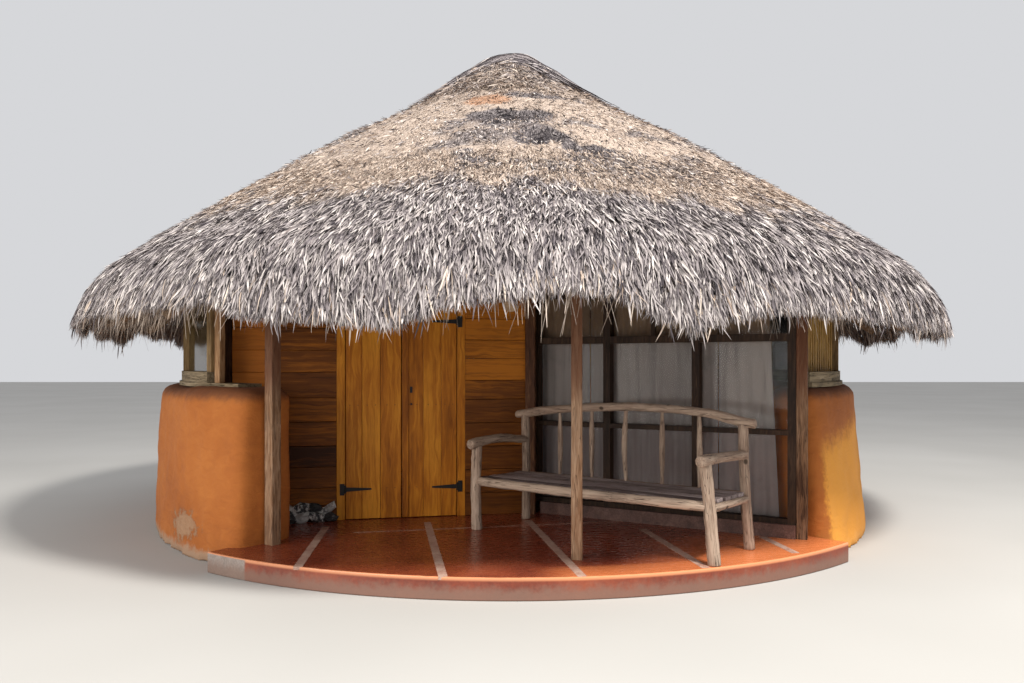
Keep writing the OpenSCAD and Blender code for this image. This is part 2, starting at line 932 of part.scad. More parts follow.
// Seat boards on the end rails and a middle bearer, with a round rail along the front
module bench_seat() {
  boards = 5;
  board_gap = 10;
  sunk = 3;
  y0 = leg_d / 2 + board_gap;
  y1 = bench_d - back_leg_d / 2 - board_gap;
  board_w = (y1 - y0 + board_gap) / boards - board_gap;
  board_z = seat_h - seat_t;
  rail_y = [leg_d / 2 + seat, bench_d - back_leg_d / 2 - seat];
  rail_z = board_z + sunk - side_rail_d / 2;
  lean_here = leg_lean * rail_z / arm_h;
  front_z = seat_h - front_rail_d / 2;
  front_x = [leg_d / 2 + seat, right_leg_x(seat_h, leg_d, front_leg_top)];
  color("#8d8073")
    at_bench() {
      for (i = [0:boards - 1])
        translate([-20, y0 + i * (board_w + board_gap), board_z])
          cube([bench_l + 20, board_w, seat_t]);
      for (x = [0, bench_l - lean_here])
        pole([x, rail_y[0], rail_z], [x, rail_y[1], rail_z], side_rail_d);
      pole([front_x[0], 0, front_z], [front_x[1], 0, front_z], front_rail_d);
      translate([bench_l / 2 - 25, 0, board_z + sunk - side_rail_d])
        cube([50, bench_d - seat_rail_d / 2 - seat, side_rail_d]);
    }
}

// Bowed back rail with knobbed ends, tapered spindles, and the rail they stand on
module bench_back() {
  low_z = seat_h - seat_t;
  low_x = [back_leg_d / 2 + seat, right_leg_x(low_z + seat_rail_d / 2, back_leg_d, back_leg_top)];
  function rail_top(x) = back_h + back_bow - bow_r + sqrt(bow_r * bow_r - pow(x - back_half, 2));
  color("#9a8878")
    at_bench() {
      translate([back_half, bench_d, back_h + back_bow - bow_r])
        rotate([90, 0, 0]) {
          rotate([0, 0, 90 - bow_end_a])
            rotate_extrude(angle = 2 * bow_end_a, $fn = 720)
              translate([bow_r, 0])
                circle(d = rail_d, $fn = 24);
          for (a = [90 - bow_end_a, 90 + bow_end_a])
            rotate([0, 0, a])
              translate([bow_r, 0, 0])
                sphere(d = knob_d, $fn = 24);
        }
      pole([low_x[0], bench_d, low_z], [low_x[1], bench_d, low_z], seat_rail_d);
      for (i = [1:spindles]) {
        x = i * (bench_l - leg_lean) / (spindles + 1);
        middle = [x, bench_d, (low_z + rail_top(x)) / 2];
        pole([x, bench_d, low_z], middle, spindle_end_d, spindle_d);
        pole(middle, [x, bench_d, rail_top(x)], spindle_d, spindle_end_d);
      }
    }
}

// Arms with knobbed front ends, lying on the front legs
module bench_arms() {
  reach = 60;
  back_lean = leg_lean * arm_h / back_h;
  color("#9a8878")
    at_bench()
      for (right = [0, 1]) {
        front_x = right * (bench_l - leg_lean);
        back_x = right * (bench_l - back_lean);
        pole([front_x, -reach, arm_h], [back_x, bench_d - back_leg_d / 2 - seat, arm_h], arm_d);
        translate([front_x, -reach, arm_h])
          sphere(d = arm_d * 1.15, $fn = 24);
      }
}

floor_slab();
porch_slab();
porch_strips();
left_pier();
ring_wall_left();
ring_wall_back_left();
ring_wall_back();
ring_wall_back_right();
ring_wall_right();
right_pier();
wall_plate();
sill_beam();
ring_posts();
side_glass();
slat_panels();
ring_beam();
porch_posts();
door_wall_left();
door_wall_right();
door_wall_gable();
stone_plinth();
door_frame();
door_leaf_left();
door_leaf_right();
left_hinges();
right_hinges();
hinge_plates();
corner_post();
window_kerb();
window_frame();
window_glass();
curtains();
window_wall_gable();
rafters();
jack_rafters();
purlins();
roof_hub();
thatch_eave_front();
thatch_eave_right();
thatch_eave_back();
thatch_eave_left();
thatch_middle();
thatch_upper();
thatch_cap();
bench_legs();
bench_seat();
bench_back();
bench_arms();
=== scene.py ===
import math

import bpy
import numpy as np
from mathutils import Matrix, Vector, noise


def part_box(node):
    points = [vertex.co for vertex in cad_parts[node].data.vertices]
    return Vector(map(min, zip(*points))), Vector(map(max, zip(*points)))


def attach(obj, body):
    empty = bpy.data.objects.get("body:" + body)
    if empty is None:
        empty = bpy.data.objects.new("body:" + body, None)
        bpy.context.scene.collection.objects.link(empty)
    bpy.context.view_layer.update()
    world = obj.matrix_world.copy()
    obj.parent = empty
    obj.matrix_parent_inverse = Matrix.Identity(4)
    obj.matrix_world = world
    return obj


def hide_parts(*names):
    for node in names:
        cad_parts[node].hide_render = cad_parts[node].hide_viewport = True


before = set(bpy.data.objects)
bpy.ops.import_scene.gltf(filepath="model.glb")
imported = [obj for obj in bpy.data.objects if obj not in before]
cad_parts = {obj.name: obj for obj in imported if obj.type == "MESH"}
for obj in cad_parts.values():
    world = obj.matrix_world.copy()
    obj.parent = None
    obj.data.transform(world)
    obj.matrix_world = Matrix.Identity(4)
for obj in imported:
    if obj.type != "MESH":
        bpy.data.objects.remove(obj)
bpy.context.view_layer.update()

# Places and sizes of the hut in metres, with angles turned from the front towards +X
SLAB_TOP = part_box("floor_slab")[1].z
WALL_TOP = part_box("ring_wall_back")[1].z
WALL_IN, WALL_OUT, WALL_BATTER, WALL_ROUND = 2.98, 3.54, 0.05, 0.11
PIER_LEFT, PIER_RIGHT = math.radians(-36.5), math.radians(44.2)
# How much further round the left pier's plaster ends, and how far the right pier leans back
PIER_SWELL, PIER_LEAN = math.radians(1.8), 0.12
RING_R = 3.26
FRONT_H = 2.014
SLAB_R, SLAB_FRONT = 3.70, -3.70
PITCH = math.radians(33.2)
MIDDLE_IN_R, EAVE_IN_R, EAVE_R = 1.4, 2.75, 4.25
CONE_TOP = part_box("thatch_middle")[1].z + MIDDLE_IN_R * math.tan(PITCH)
# Where the two front walls meet
CORNER = (0.18, -1.423)
FULL_TURN = 2 * math.pi


def frame_at(x, y, turn):
    """A frame on the slab, turned about the upright axis by an angle in degrees."""
    return Matrix.Translation((x, y, SLAB_TOP)) @ Matrix.Rotation(math.radians(turn), 4, "Z")


DOOR_WALL = frame_at(*CORNER, 192)
WINDOW_WALL = frame_at(*CORNER, -30.6)
BENCH = frame_at(-0.28, -2.157, -36.5)


def polar(radius, angle, z=0.0):
    return Vector((radius * math.sin(angle), -radius * math.cos(angle), z))


# Shader values and materials

class Level:
    """A value on its way through a material, so that masks can be written as sums."""

    def __init__(self, finish, socket):
        self.finish = finish
        self.socket = socket

    def maths(self, operation, *values):
        return self.finish.add("ShaderNodeMath", {"operation": operation}, *values)

    def __add__(self, other):
        return self.maths("ADD", self, other)

    def __sub__(self, other):
        return self.maths("SUBTRACT", self, other)

    def __rsub__(self, other):
        return self.maths("SUBTRACT", other, self)

    def __mul__(self, other):
        return self.maths("MULTIPLY", self, other)

    def __pow__(self, other):
        return self.maths("POWER", self, other)

    __radd__ = __add__
    __rmul__ = __mul__

    def between(self, low, high):
        """0 at low, 1 at high, with soft ends."""
        return self.finish.add("ShaderNodeMapRange", {"interpolation_type": "SMOOTHSTEP"}, Value=self,
                               **{"From Min": low, "From Max": high})

    def swing(self, reach):
        """A noise from 0 to 1 as a shift to both sides of nought."""
        return (self - 0.5) * reach


class Finish:
    """One material and its nodes."""

    def __init__(self, name):
        self.material = bpy.data.materials.new(name)
        self.material.use_nodes = True
        self.tree = self.material.node_tree
        self.tree.nodes.clear()

    def add(self, kind, settings, *values, out=0, **named):
        """Adds a node: its settings first, then its inputs in order or by name."""
        node = self.tree.nodes.new(kind)
        for key, value in settings.items():
            if key == "stops":
                ramp = node.color_ramp.elements
                while len(ramp) < len(value):
                    ramp.new(0.5)
                for element, (place, colour) in zip(ramp, value):
                    element.position = place
                    element.color = (*colour, 1)
            else:
                setattr(node, key, value)
        for key, value in [*enumerate(values), *named.items()]:
            if isinstance(value, Level):
                self.tree.links.new(value.socket, node.inputs[key])
            elif value is not None:
                node.inputs[key].default_value = value
        return Level(self, node.outputs[out]) if node.outputs else None

    def place(self):
        """The point on the piece, in metres."""
        return self.add("ShaderNodeTexCoord", {}, out="Object")

    def attribute(self, name, out="Vector"):
        return self.add("ShaderNodeAttribute", {"attribute_name": name}, out=out)

    def split(self, vector):
        node = self.add("ShaderNodeSeparateXYZ", {}, vector)
        return [Level(self, node.socket.node.outputs[i]) for i in range(3)]

    def joined(self, x, y, z):
        return self.add("ShaderNodeCombineXYZ", {}, x, y, z)

    def radius(self, x, y):
        """Distance from the hut's axis."""
        return (x * x + y * y) ** 0.5

    def turn(self, x, y):
        """Plan angle in radians, from the front towards +X."""
        return self.add("ShaderNodeMath", {"operation": "ARCTAN2"}, x, 0 - y)

    def scaled(self, vector, scale):
        return self.add("ShaderNodeVectorMath", {"operation": "MULTIPLY"}, vector, scale)

    def noise(self, vector, size, detail=3.0, roughness=0.55, distortion=0.0, stretch=None):
        """Soft cloudy noise from 0 to 1, with lumps of a size in metres, longer where stretch is small."""
        if stretch:
            vector = self.scaled(vector, stretch)
        return self.add("ShaderNodeTexNoise", {}, Vector=vector, Scale=1 / size, Detail=detail,
                        Roughness=roughness, Distortion=distortion)

    def cells(self, vector, size):
        return self.add("ShaderNodeTexVoronoi", {}, Vector=vector, Scale=1 / size)

    def ramp(self, level, stops):
        return self.add("ShaderNodeValToRGB", {"stops": stops}, level)

    def mix(self, amount, first, second):
        """Blends two colours."""
        node = self.tree.nodes.new("ShaderNodeMix")
        node.data_type = "RGBA"
        for key, value in ((0, amount), (6, first), (7, second)):
            if isinstance(value, Level):
                self.tree.links.new(value.socket, node.inputs[key])
            else:
                node.inputs[key].default_value = (*value, 1) if hasattr(value, "__len__") else value
        return Level(self, node.outputs[2])

    def bump(self, height, depth):
        """Turns a height from 0 to 1 into a normal, with a depth in metres."""
        return self.add("ShaderNodeBump", {}, Distance=depth, Height=height)

    def surface(self, colour, roughness, normal=None, **constants):
        """Ends the material with one Principled shader and returns the material."""
        if hasattr(colour, "__len__"):
            colour = (*colour, 1)
        named = {"Base Color": colour, "Roughness": roughness, "Normal": normal, **constants}
        shader = self.add("ShaderNodeBsdfPrincipled", {}, **named)
        self.add("ShaderNodeOutputMaterial", {}, shader)
        return self.material


def wood_place(finish, run):
    """Place in the wood with its first axis along the grain."""
    if run == "piece":
        return finish.attribute("grain")
    x, y, z = finish.split(finish.place())
    if run == "upright":
        return finish.joined(z, x, y)
    radius, turn = finish.radius(x, y), finish.turn(x, y)
    if run == "radial":
        return finish.joined(radius, turn * 2.0, z)
    return finish.joined(turn * RING_R, radius, z)


def wood(name, dark, middle, light, run="piece", band=0.03, rough=0.6, depth=0.002, knots=0.0,
         cracks=0.0, grey=None, shade=None, glow=None, wave=0.09, contrast=1.0):
    """Timber with growth bands, fine streaks, and a tone of its own for each board or pole.
    grey is a share and a colour; shade and glow are where a second colour starts, going up or to
    the left, and that colour."""
    finish = Finish(name)
    place = wood_place(finish, run)
    warp = finish.noise(place, 0.22, detail=2, stretch=(0.6, 1, 1))
    along, across, deep = finish.split(place)
    bent = finish.joined(along * wave, across + warp * 0.09, deep + warp * 0.05)
    bands = finish.noise(bent, band, detail=2, distortion=0.6)
    fine = finish.noise(place, 0.004, detail=4, roughness=0.7, stretch=(0.05, 1, 1))
    blotch = finish.noise(place, 0.3, detail=3, stretch=(0.4, 1, 1))
    grain = (bands * 0.65 + fine * 0.35).swing(contrast) + 0.5
    if run == "piece":
        grain = grain + finish.attribute("tone", "Fac").swing(0.42)
    grain = grain + blotch.swing(0.5) * contrast
    colour = finish.ramp(grain, [(0.28, dark), (0.5, middle), (0.74, light)])
    height = bands * 0.4 + fine * 0.6
    if knots:
        spots = finish.cells(finish.scaled(place, (1, 1.3, 1.3)), knots)
        knot = 1 - spots.between(0.05, 0.1)
        colour = finish.mix(knot * 0.85, colour, tuple(c * 0.3 for c in dark))
        height = height - knot * 0.6
    if cracks:
        lines = finish.noise(place, 0.018, detail=2, distortion=0.4, stretch=(0.035, 1, 1))
        crack = lines.between(0.5 - cracks, 0.5) * (1 - lines.between(0.5, 0.5 + cracks))
        colour = finish.mix(crack * 0.9, colour, tuple(c * 0.35 for c in dark))
        height = height - crack * 1.2
    if grey:
        worn = finish.noise(place, 0.16, detail=5, roughness=0.65, stretch=(0.3, 1, 1))
        colour = finish.mix(worn.between(0.45, 0.68) * grey[0], colour, grey[1])
    if shade:
        start, tint = shade
        z = finish.split(finish.place())[2]
        colour = finish.mix((z + blotch.swing(0.4)).between(start, start + 0.35) * 0.8, colour, tint)
    if glow:
        start, tint = glow
        x, _, z = finish.split(finish.place())
        lit = (start - x).between(0, 0.06) * (z - SLAB_TOP).between(1.05, 1.15)
        colour = finish.mix(lit * (grain.between(0.2, 0.6) * 0.35 + 0.55), colour, tint)
    normal = finish.bump(height, depth)
    return finish.surface(colour, fine.swing(0.3) + rough, normal, **{"Specular IOR Level": 0.16})


def earth_plaster():
    """Orange earth plaster smoothed by hand, splashed and worn at its foot, with painted sunlight on the
    right pier and painted shade along its top.
    """
    finish = Finish("earth_plaster")
    place = finish.place()
    broad = finish.noise(place, 0.7, detail=4, roughness=0.6)
    grit = finish.noise(place, 0.012, detail=4, roughness=0.7)
    strokes = finish.noise(place, 0.13, detail=3, distortion=0.8, stretch=(1, 1, 2.2))
    colour = finish.ramp(broad * 0.7 + strokes * 0.3, [
        (0.3, (0.33, 0.092, 0.013)), (0.5, (0.42, 0.125, 0.018)), (0.72, (0.50, 0.165, 0.028))])
    colour = finish.mix(grit.between(0.55, 0.8) * 0.25, colour, (0.28, 0.080, 0.014))
    x, y, z = finish.split(place)
    ragged = finish.noise(place, 0.07, detail=5, roughness=0.7)
    # Pale sand splashed along the foot
    foot = 1 - (z - ragged * 0.16).between(-0.04, 0.03)
    colour = finish.mix(foot * 0.75, colour, (0.40, 0.29, 0.20))
    # Darker along the rounded top: painted shade under the eave
    painted_top_shade = (z + ragged * 0.10).between(WALL_TOP - 0.07, WALL_TOP + 0.02)
    colour = finish.mix(painted_top_shade * 0.75, colour, (0.11, 0.038, 0.018))
    # Painted sunlight on the right pier, cut off above by a painted edge of the eave's shadow
    turn = finish.turn(x, y)
    aside = turn + ragged.swing(0.06)
    lit_from, lit_to, shade_z = 0.80, 1.2, 0.72
    painted_sunlight = aside.between(lit_from - 0.010, lit_from + 0.015)
    painted_sunlight = painted_sunlight * (1 - aside.between(lit_to - 0.1, lit_to + 0.1))
    shaded = (z + ragged.swing(0.25) - (turn - lit_from) * 0.5).between(shade_z, shade_z + 0.23)
    painted_sunlight = painted_sunlight * (1 - shaded)
    colour = finish.mix(painted_sunlight * (0.85 + broad.swing(0.4)), colour, (0.86, 0.37, 0.045))
    # Patch where the plaster has worn off the left pier
    squash = 2.0
    patch_at = polar(WALL_OUT, math.radians(-47.5), 0.225 * squash)
    gone = finish.add("ShaderNodeVectorMath", {"operation": "DISTANCE"},
                      finish.scaled(place, (1, 1, squash)), tuple(patch_at), out="Value")
    worn = 1 - (gone + ragged.swing(0.85) + grit.swing(0.15)).between(0.17, 0.27)
    sand = finish.ramp(grit * 0.5 + ragged * 0.5, [
        (0.35, (0.28, 0.17, 0.095)), (0.65, (0.46, 0.32, 0.20))])
    colour = finish.mix(worn * 0.72, colour, sand)
    height = strokes * 0.7 + grit * 0.15 - worn * 0.3
    return finish.surface(colour, grit * 0.15 + 0.78, finish.bump(height, 0.012))


def red_cement():
    """Polished red oxide cement, worn and sunlit at its rim, with a bare grey block at its left end."""
    finish = Finish("red_cement")
    place = finish.place()
    broad = finish.noise(place, 0.5, detail=5, roughness=0.6)
    fine = finish.noise(place, 0.02, detail=4, roughness=0.7)
    x, y, z = finish.split(place)
    colour = finish.ramp(broad * 0.65 + fine * 0.35, [
        (0.32, (0.12, 0.023, 0.013)), (0.5, (0.23, 0.046, 0.021)), (0.7, (0.34, 0.085, 0.038))])
    scuffs = finish.noise(place, 0.08, detail=5, roughness=0.75, stretch=(1, 2.5, 1))
    colour = finish.mix(scuffs.between(0.6, 0.78) * 0.30, colour, (0.45, 0.22, 0.15))
    radius = finish.radius(x, y)
    rim = (radius + scuffs.swing(0.02)).between(SLAB_R - 0.016, SLAB_R - 0.004)
    upper = z.between(SLAB_TOP - 0.03, SLAB_TOP - 0.01)
    # Lit by the sun at the right end and along the front edge
    end = (x - y * 0.6 + broad.swing(0.8)).between(2.6, 3.7)
    edge = (radius + scuffs.swing(0.10)).between(SLAB_R - 0.30, SLAB_R - 0.22) * x.between(0.1, 0.5)
    painted_sunlight = end.maths("MAXIMUM", end, edge * 0.8) * upper
    colour = finish.mix(painted_sunlight * 0.75, colour, (0.72, 0.215, 0.070))
    colour = finish.mix(rim * upper * 0.8, colour, (0.78, 0.33, 0.16))
    side = 1 - z.between(SLAB_TOP - 0.012, SLAB_TOP - 0.004)
    block_end = -1.86
    bare = (1 - (x + broad.swing(0.05)).between(block_end, block_end + 0.02)) * side
    cement = finish.ramp(fine * 0.6 + scuffs * 0.4, [
        (0.3, (0.17, 0.13, 0.11)), (0.7, (0.42, 0.35, 0.31))])
    colour = finish.mix(bare, colour, cement)
    dirt_and_shade = side * (1 - (z - scuffs * 0.14).between(-0.03, 0.05))
    colour = finish.mix(dirt_and_shade * 0.75, colour, (0.22, 0.135, 0.10))
    roughness = 0.24 + scuffs.between(0.45, 0.8) * 0.3 + side * 0.3
    return finish.surface(colour, roughness, finish.bump(fine * 0.3 + broad, 0.0008))


def kerb_cement():
    """Dark red cement of the kerb, blotched, kept darker than the floor's cement as painted shade."""
    finish = Finish("kerb_cement")
    place = finish.place()
    broad = finish.noise(place, 0.12, detail=5, roughness=0.7)
    fine = finish.noise(place, 0.012, detail=3)
    colour = finish.ramp(broad * 0.6 + fine * 0.4, [
        (0.34, (0.045, 0.020, 0.015)), (0.5, (0.12, 0.055, 0.040)), (0.68, (0.24, 0.13, 0.10))])
    return finish.surface(colour, 0.6, finish.bump(broad, 0.008))


def pale_cement():
    """Pinkish cement of the floor's joint strips, speckled with grit."""
    finish = Finish("pale_cement")
    place = finish.place()
    blotch = finish.noise(place, 0.09, detail=5, roughness=0.7)
    grit = finish.noise(place, 0.007, detail=3)
    colour = finish.ramp(blotch * 0.6 + grit * 0.4, [
        (0.34, (0.22, 0.085, 0.055)), (0.48, (0.42, 0.25, 0.19)), (0.66, (0.56, 0.42, 0.34))])
    return finish.surface(colour, 0.62, finish.bump(grit, 0.002))


def rough_stone():
    """Black and pale field stones."""
    finish = Finish("rough_stone")
    place = finish.place()
    tone = finish.attribute("tone", "Fac")
    spots = finish.noise(place, 0.025, detail=5, roughness=0.75)
    veins = finish.noise(place, 0.07, detail=3, distortion=1.2)
    dark = finish.ramp(spots, [(0.35, (0.015, 0.014, 0.014)), (0.7, (0.12, 0.115, 0.11))])
    pale = finish.ramp(spots, [(0.3, (0.46, 0.44, 0.41)), (0.7, (0.92, 0.89, 0.84))])
    colour = finish.mix((tone * 0.5 + (veins + spots) * 0.7 - 0.45).between(0.38, 0.50), dark, pale)
    return finish.surface(colour, 0.85, finish.bump(spots + veins, 0.03))


def black_iron():
    """Black painted iron, rusted a little."""
    finish = Finish("black_iron")
    place = finish.place()
    hammered = finish.noise(place, 0.02, detail=2)
    rust = finish.noise(place, 0.035, detail=5, roughness=0.7)
    colour = finish.mix(rust.between(0.58, 0.72) * 0.7, (0.012, 0.011, 0.011), (0.09, 0.035, 0.015))
    return finish.surface(colour, 0.42 + rust * 0.25, finish.bump(hammered, 0.002), Metallic=0.35)


def window_glass(name, tint, cover):
    """Panes with a little dust, in a tint and with how much they cover."""
    finish = Finish(name)
    place = finish.place()
    dust = finish.noise(place, 0.35, detail=5, roughness=0.7)
    alpha = cover + dust.between(0.5, 0.8) * 0.10
    return finish.surface(tint, 0.08, Alpha=alpha, IOR=1.5)


def curtain_cloth():
    """Thin greyish cotton with a fine weave, darker towards its foot, with painted shade in its folds and a
    tan painted reflection of the thatch over its top part.
    """
    finish = Finish("curtain_cloth")
    place = finish.place()
    z = finish.split(place)[2]
    blotch = finish.noise(place, 0.35, detail=3, stretch=(1, 1, 0.35))
    threads = finish.noise(place, 0.004, detail=2, stretch=(1, 1, 0.04))
    weft = finish.noise(place, 0.004, detail=2, stretch=(0.04, 0.04, 1))
    colour = finish.ramp(blotch, [(0.3, (0.29, 0.245, 0.225)), (0.7, (0.42, 0.365, 0.335))])
    # Painted shade in the folds
    folds = finish.noise(place, 0.045, detail=2, stretch=(1, 1, 0.06))
    colour = finish.mix(folds.between(0.5, 0.72) * 0.40, colour, (0.13, 0.105, 0.095))
    low = 1 - (z + blotch.swing(0.3)).between(SLAB_TOP + 0.72, SLAB_TOP + 0.95)
    colour = finish.mix(low * 0.6, colour, (0.17, 0.125, 0.125))
    # Painted reflection of the thatch, tan over the top part
    tan = (z + blotch.swing(0.1)).between(SLAB_TOP + 1.5, SLAB_TOP + 1.62)
    colour = finish.mix(tan * 0.9, colour, (0.24, 0.135, 0.060))
    colour = finish.mix((threads + weft - 0.75) * 0.3, colour, (0.30, 0.27, 0.25))
    return finish.surface(colour, 0.9, finish.bump(threads * 0.5 + weft * 0.5, 0.0008))


def palm_leaf():
    """Dry palm leaf: tan where it is sheltered and silver where it has weathered.
    Its attribute holds the share along the leaf, how silver it is, and a tone of its own."""
    finish = Finish("palm_leaf")
    place = finish.place()
    share, silver, tone = finish.split(finish.attribute("leaf"))
    fibres = finish.noise(place, 0.008, detail=3, roughness=0.7, stretch=(1, 1, 0.25))
    stain = finish.noise(place, 0.05, detail=3)
    shade = tone + fibres.swing(0.35)
    tan = finish.ramp(shade, [
        (0.0, (0.030, 0.022, 0.020)), (0.12, (0.105, 0.076, 0.062)), (0.4, (0.345, 0.262, 0.208)),
        (0.65, (0.51, 0.410, 0.336)), (0.95, (0.70, 0.595, 0.505))])
    pale = finish.ramp(shade, [
        (0.0, (0.012, 0.010, 0.014)), (0.08, (0.050, 0.042, 0.050)), (0.34, (0.185, 0.160, 0.167)),
        (0.6, (0.39, 0.350, 0.345)), (0.95, (0.66, 0.605, 0.575))])
    colour = finish.mix(silver.between(0.1, 0.9), tan, pale)
    rust = finish.ramp(shade, [
        (0.2, (0.17, 0.085, 0.050)), (0.6, (0.42, 0.215, 0.115)), (0.9, (0.60, 0.36, 0.22))])
    colour = finish.mix(1 - silver.between(-0.7, 0.0), colour, rust)
    # Painted shade towards the root of each leaf, where the leaves above lie over it
    painted_root_shade = 1 - share.between(0.0, 0.5)
    colour = finish.mix(painted_root_shade * (silver.between(0.2, 0.8) * 0.45 + 0.15), colour, (0.045, 0.035, 0.038))
    colour = finish.mix(stain.between(0.58, 0.75) * 0.25, colour, (0.14, 0.115, 0.11))
    return finish.surface(colour, 0.75, finish.bump(fibres, 0.0015), **{"Specular IOR Level": 0.25})


def thatch_bed():
    """Packed leaf stems between the leaves, and the roof's straw coloured underside.
    Its attribute holds how silver and how rough the leaves over it are, both raised by painted shade, and 1
    underneath."""
    finish = Finish("thatch_bed")
    place = finish.place()
    silver, rough, below = finish.split(finish.attribute("cover"))
    x, y, z = finish.split(place)
    down = finish.joined(finish.radius(x, y) * 0.15, finish.turn(x, y) * 2.4, z * 0.15)
    straws = finish.noise(down, 0.012, detail=4, roughness=0.7, distortion=0.4)
    felt = finish.noise(place, 0.014, detail=4, roughness=0.75, distortion=0.6)
    clump = finish.noise(place, 0.16, detail=4)
    tan = finish.ramp(felt * 0.8 + clump * 0.2, [
        (0.36, (0.12, 0.092, 0.078)), (0.45, (0.35, 0.276, 0.229)), (0.56, (0.51, 0.416, 0.348)),
        (0.70, (0.66, 0.560, 0.485))])
    # Painted shade in small pits of the felt
    pits = finish.noise(place, 0.022, detail=3, roughness=0.6).between(0.58, 0.68)
    tan = finish.mix(pits * 0.8, tan, (0.06, 0.046, 0.042))
    streaks = finish.noise(down, 0.007, detail=3, roughness=0.6, distortion=0.5)
    dark = finish.ramp(streaks * 0.7 + felt * 0.3, [
        (0.36, (0.030, 0.025, 0.030)), (0.5, (0.13, 0.112, 0.115)), (0.62, (0.36, 0.325, 0.32))])
    inside = finish.ramp(straws * 0.6 + clump * 0.4, [
        (0.3, (0.05, 0.036, 0.024)), (0.5, (0.19, 0.135, 0.085)), (0.7, (0.40, 0.30, 0.19))])
    colour = finish.mix((silver + rough * 0.7).between(0.25, 0.75), tan, dark)
    orange = (1 - silver.between(-0.7, -0.1)) * (felt.between(0.4, 0.6) * 0.5 + 0.4)
    colour = finish.mix(orange, colour, (0.40, 0.20, 0.105))
    # Painted shadow where the rough value goes past 1: under the upper edges of the hollows and round the
    # foot of the cap
    colour = finish.mix((rough - 1).between(0.1, 0.8) * 0.85, colour, (0.022, 0.019, 0.023))
    colour = finish.mix(below, colour, inside)
    normal = finish.bump(felt + straws * below, 0.012)
    return finish.surface(colour, 0.85, normal, **{"Specular IOR Level": 0.2})


# Modelling by hand

rng = np.random.default_rng(11)


class Draws:
    """Random values, one for each leaf or straw, in a shape for numpy."""

    def __init__(self, *shape):
        self.shape = shape

    def between(self, low, high):
        return rng.uniform(low, high, self.shape)

    def about(self, middle, deviation):
        return rng.normal(middle, deviation, self.shape)


def select_only(*pieces):
    bpy.ops.object.select_all(action="DESELECT")
    for piece in pieces:
        piece.select_set(True)
    bpy.context.view_layer.objects.active = pieces[0]


def settled(piece, size=(1, 1, 1)):
    """Gives a new piece its size and puts its place into its mesh."""
    piece.scale = [a * b for a, b in zip(piece.scale, size)]
    select_only(piece)
    bpy.ops.object.transform_apply(location=True, rotation=True, scale=True)
    return piece


def on_edges(piece, test, tool, **settings):
    """Runs a mesh tool on the edges whose two ends pass a test."""
    bpy.context.tool_settings.mesh_select_mode = (False, True, False)
    select_only(piece)
    mesh = piece.data
    for group in (mesh.vertices, mesh.edges, mesh.polygons):
        group.foreach_set("select", np.zeros(len(group), dtype=bool))
    for edge in mesh.edges:
        p, q = (mesh.vertices[i].co for i in edge.vertices)
        if test(p, q):
            edge.select = True
            for i in edge.vertices:
                mesh.vertices[i].select = True
    bpy.ops.object.mode_set(mode="EDIT")
    tool(**settings)
    bpy.ops.object.mode_set(mode="OBJECT")


def finished_with(piece, kind, **settings):
    """Adds a modifier with its settings and applies it."""
    select_only(piece)
    modifier = piece.modifiers.new(kind.lower(), kind)
    for key, value in settings.items():
        setattr(modifier, key, value)
    bpy.ops.object.modifier_apply(modifier=modifier.name)


def roughened(piece, size, depth):
    """Pushes the surface in and out by a cloudy pattern."""
    lumps = bpy.data.textures.new("lumps", "CLOUDS")
    lumps.noise_scale = size
    finished_with(piece, "DISPLACE", texture=lumps, strength=depth, mid_level=0.5,
                  texture_coords="LOCAL")


def joined(pieces):
    select_only(*pieces)
    if len(pieces) > 1:
        bpy.ops.object.join()
    return pieces[0]


def corners_of(mesh):
    """The places of all corners, as rows."""
    places = np.empty(len(mesh.vertices) * 3)
    mesh.vertices.foreach_get("co", places)
    return places.reshape(-1, 3)


def keep_vectors(mesh, name, rows):
    """Writes a row of three values for each corner, for the finish."""
    layer = mesh.attributes.new(name, "FLOAT_VECTOR", "POINT")
    layer.data.foreach_set("vector", rows.ravel())


def mark_grain(piece, start, along, side, tone=None):
    """Keeps each point's place along and across its board or pole, for the grain."""
    mesh = piece.data
    along = Vector(along).normalized()
    side = Vector(side).normalized()
    axes = np.array([along, side, along.cross(side)])
    keep_vectors(mesh, "grain", (corners_of(mesh) - np.array(start)) @ axes.T + rng.uniform(0, 40, 3))
    layer = mesh.attributes.new("tone", "FLOAT", "POINT")
    value = rng.uniform(0, 1) if tone is None else tone
    layer.data.foreach_set("value", np.full(len(mesh.vertices), value))


def board(place, u, v, z, run=0, cuts=7, tone=None):
    """One board in a wall's frame. u, v and z are its two sides each way, run its grain's axis."""
    sides = [(a + b) / 2 for a, b in (u, v, z)]
    size = [b - a for a, b in (u, v, z)]
    bpy.ops.mesh.primitive_cube_add(size=1, location=place @ Vector(sides),
                                    rotation=place.to_euler(), scale=size)
    piece = settled(bpy.context.object)
    axes = [place.to_3x3().col[i] for i in range(3)]
    along = axes[run]
    on_edges(piece, lambda p, q: abs((q - p).normalized().dot(along)) > 0.9,
             bpy.ops.mesh.subdivide, number_cuts=cuts)
    across = axes[2] if run == 0 else axes[0]
    mark_grain(piece, place @ Vector(sides), along, across, tone)
    return piece


def boarded(pieces, edge=0.004, size=0.35, depth=0.006):
    """Joins boards, rounds their edges and makes them a little uneven."""
    piece = joined(pieces)
    finished_with(piece, "BEVEL", width=edge, segments=2, limit_method="ANGLE")
    roughened(piece, size, depth)
    return piece


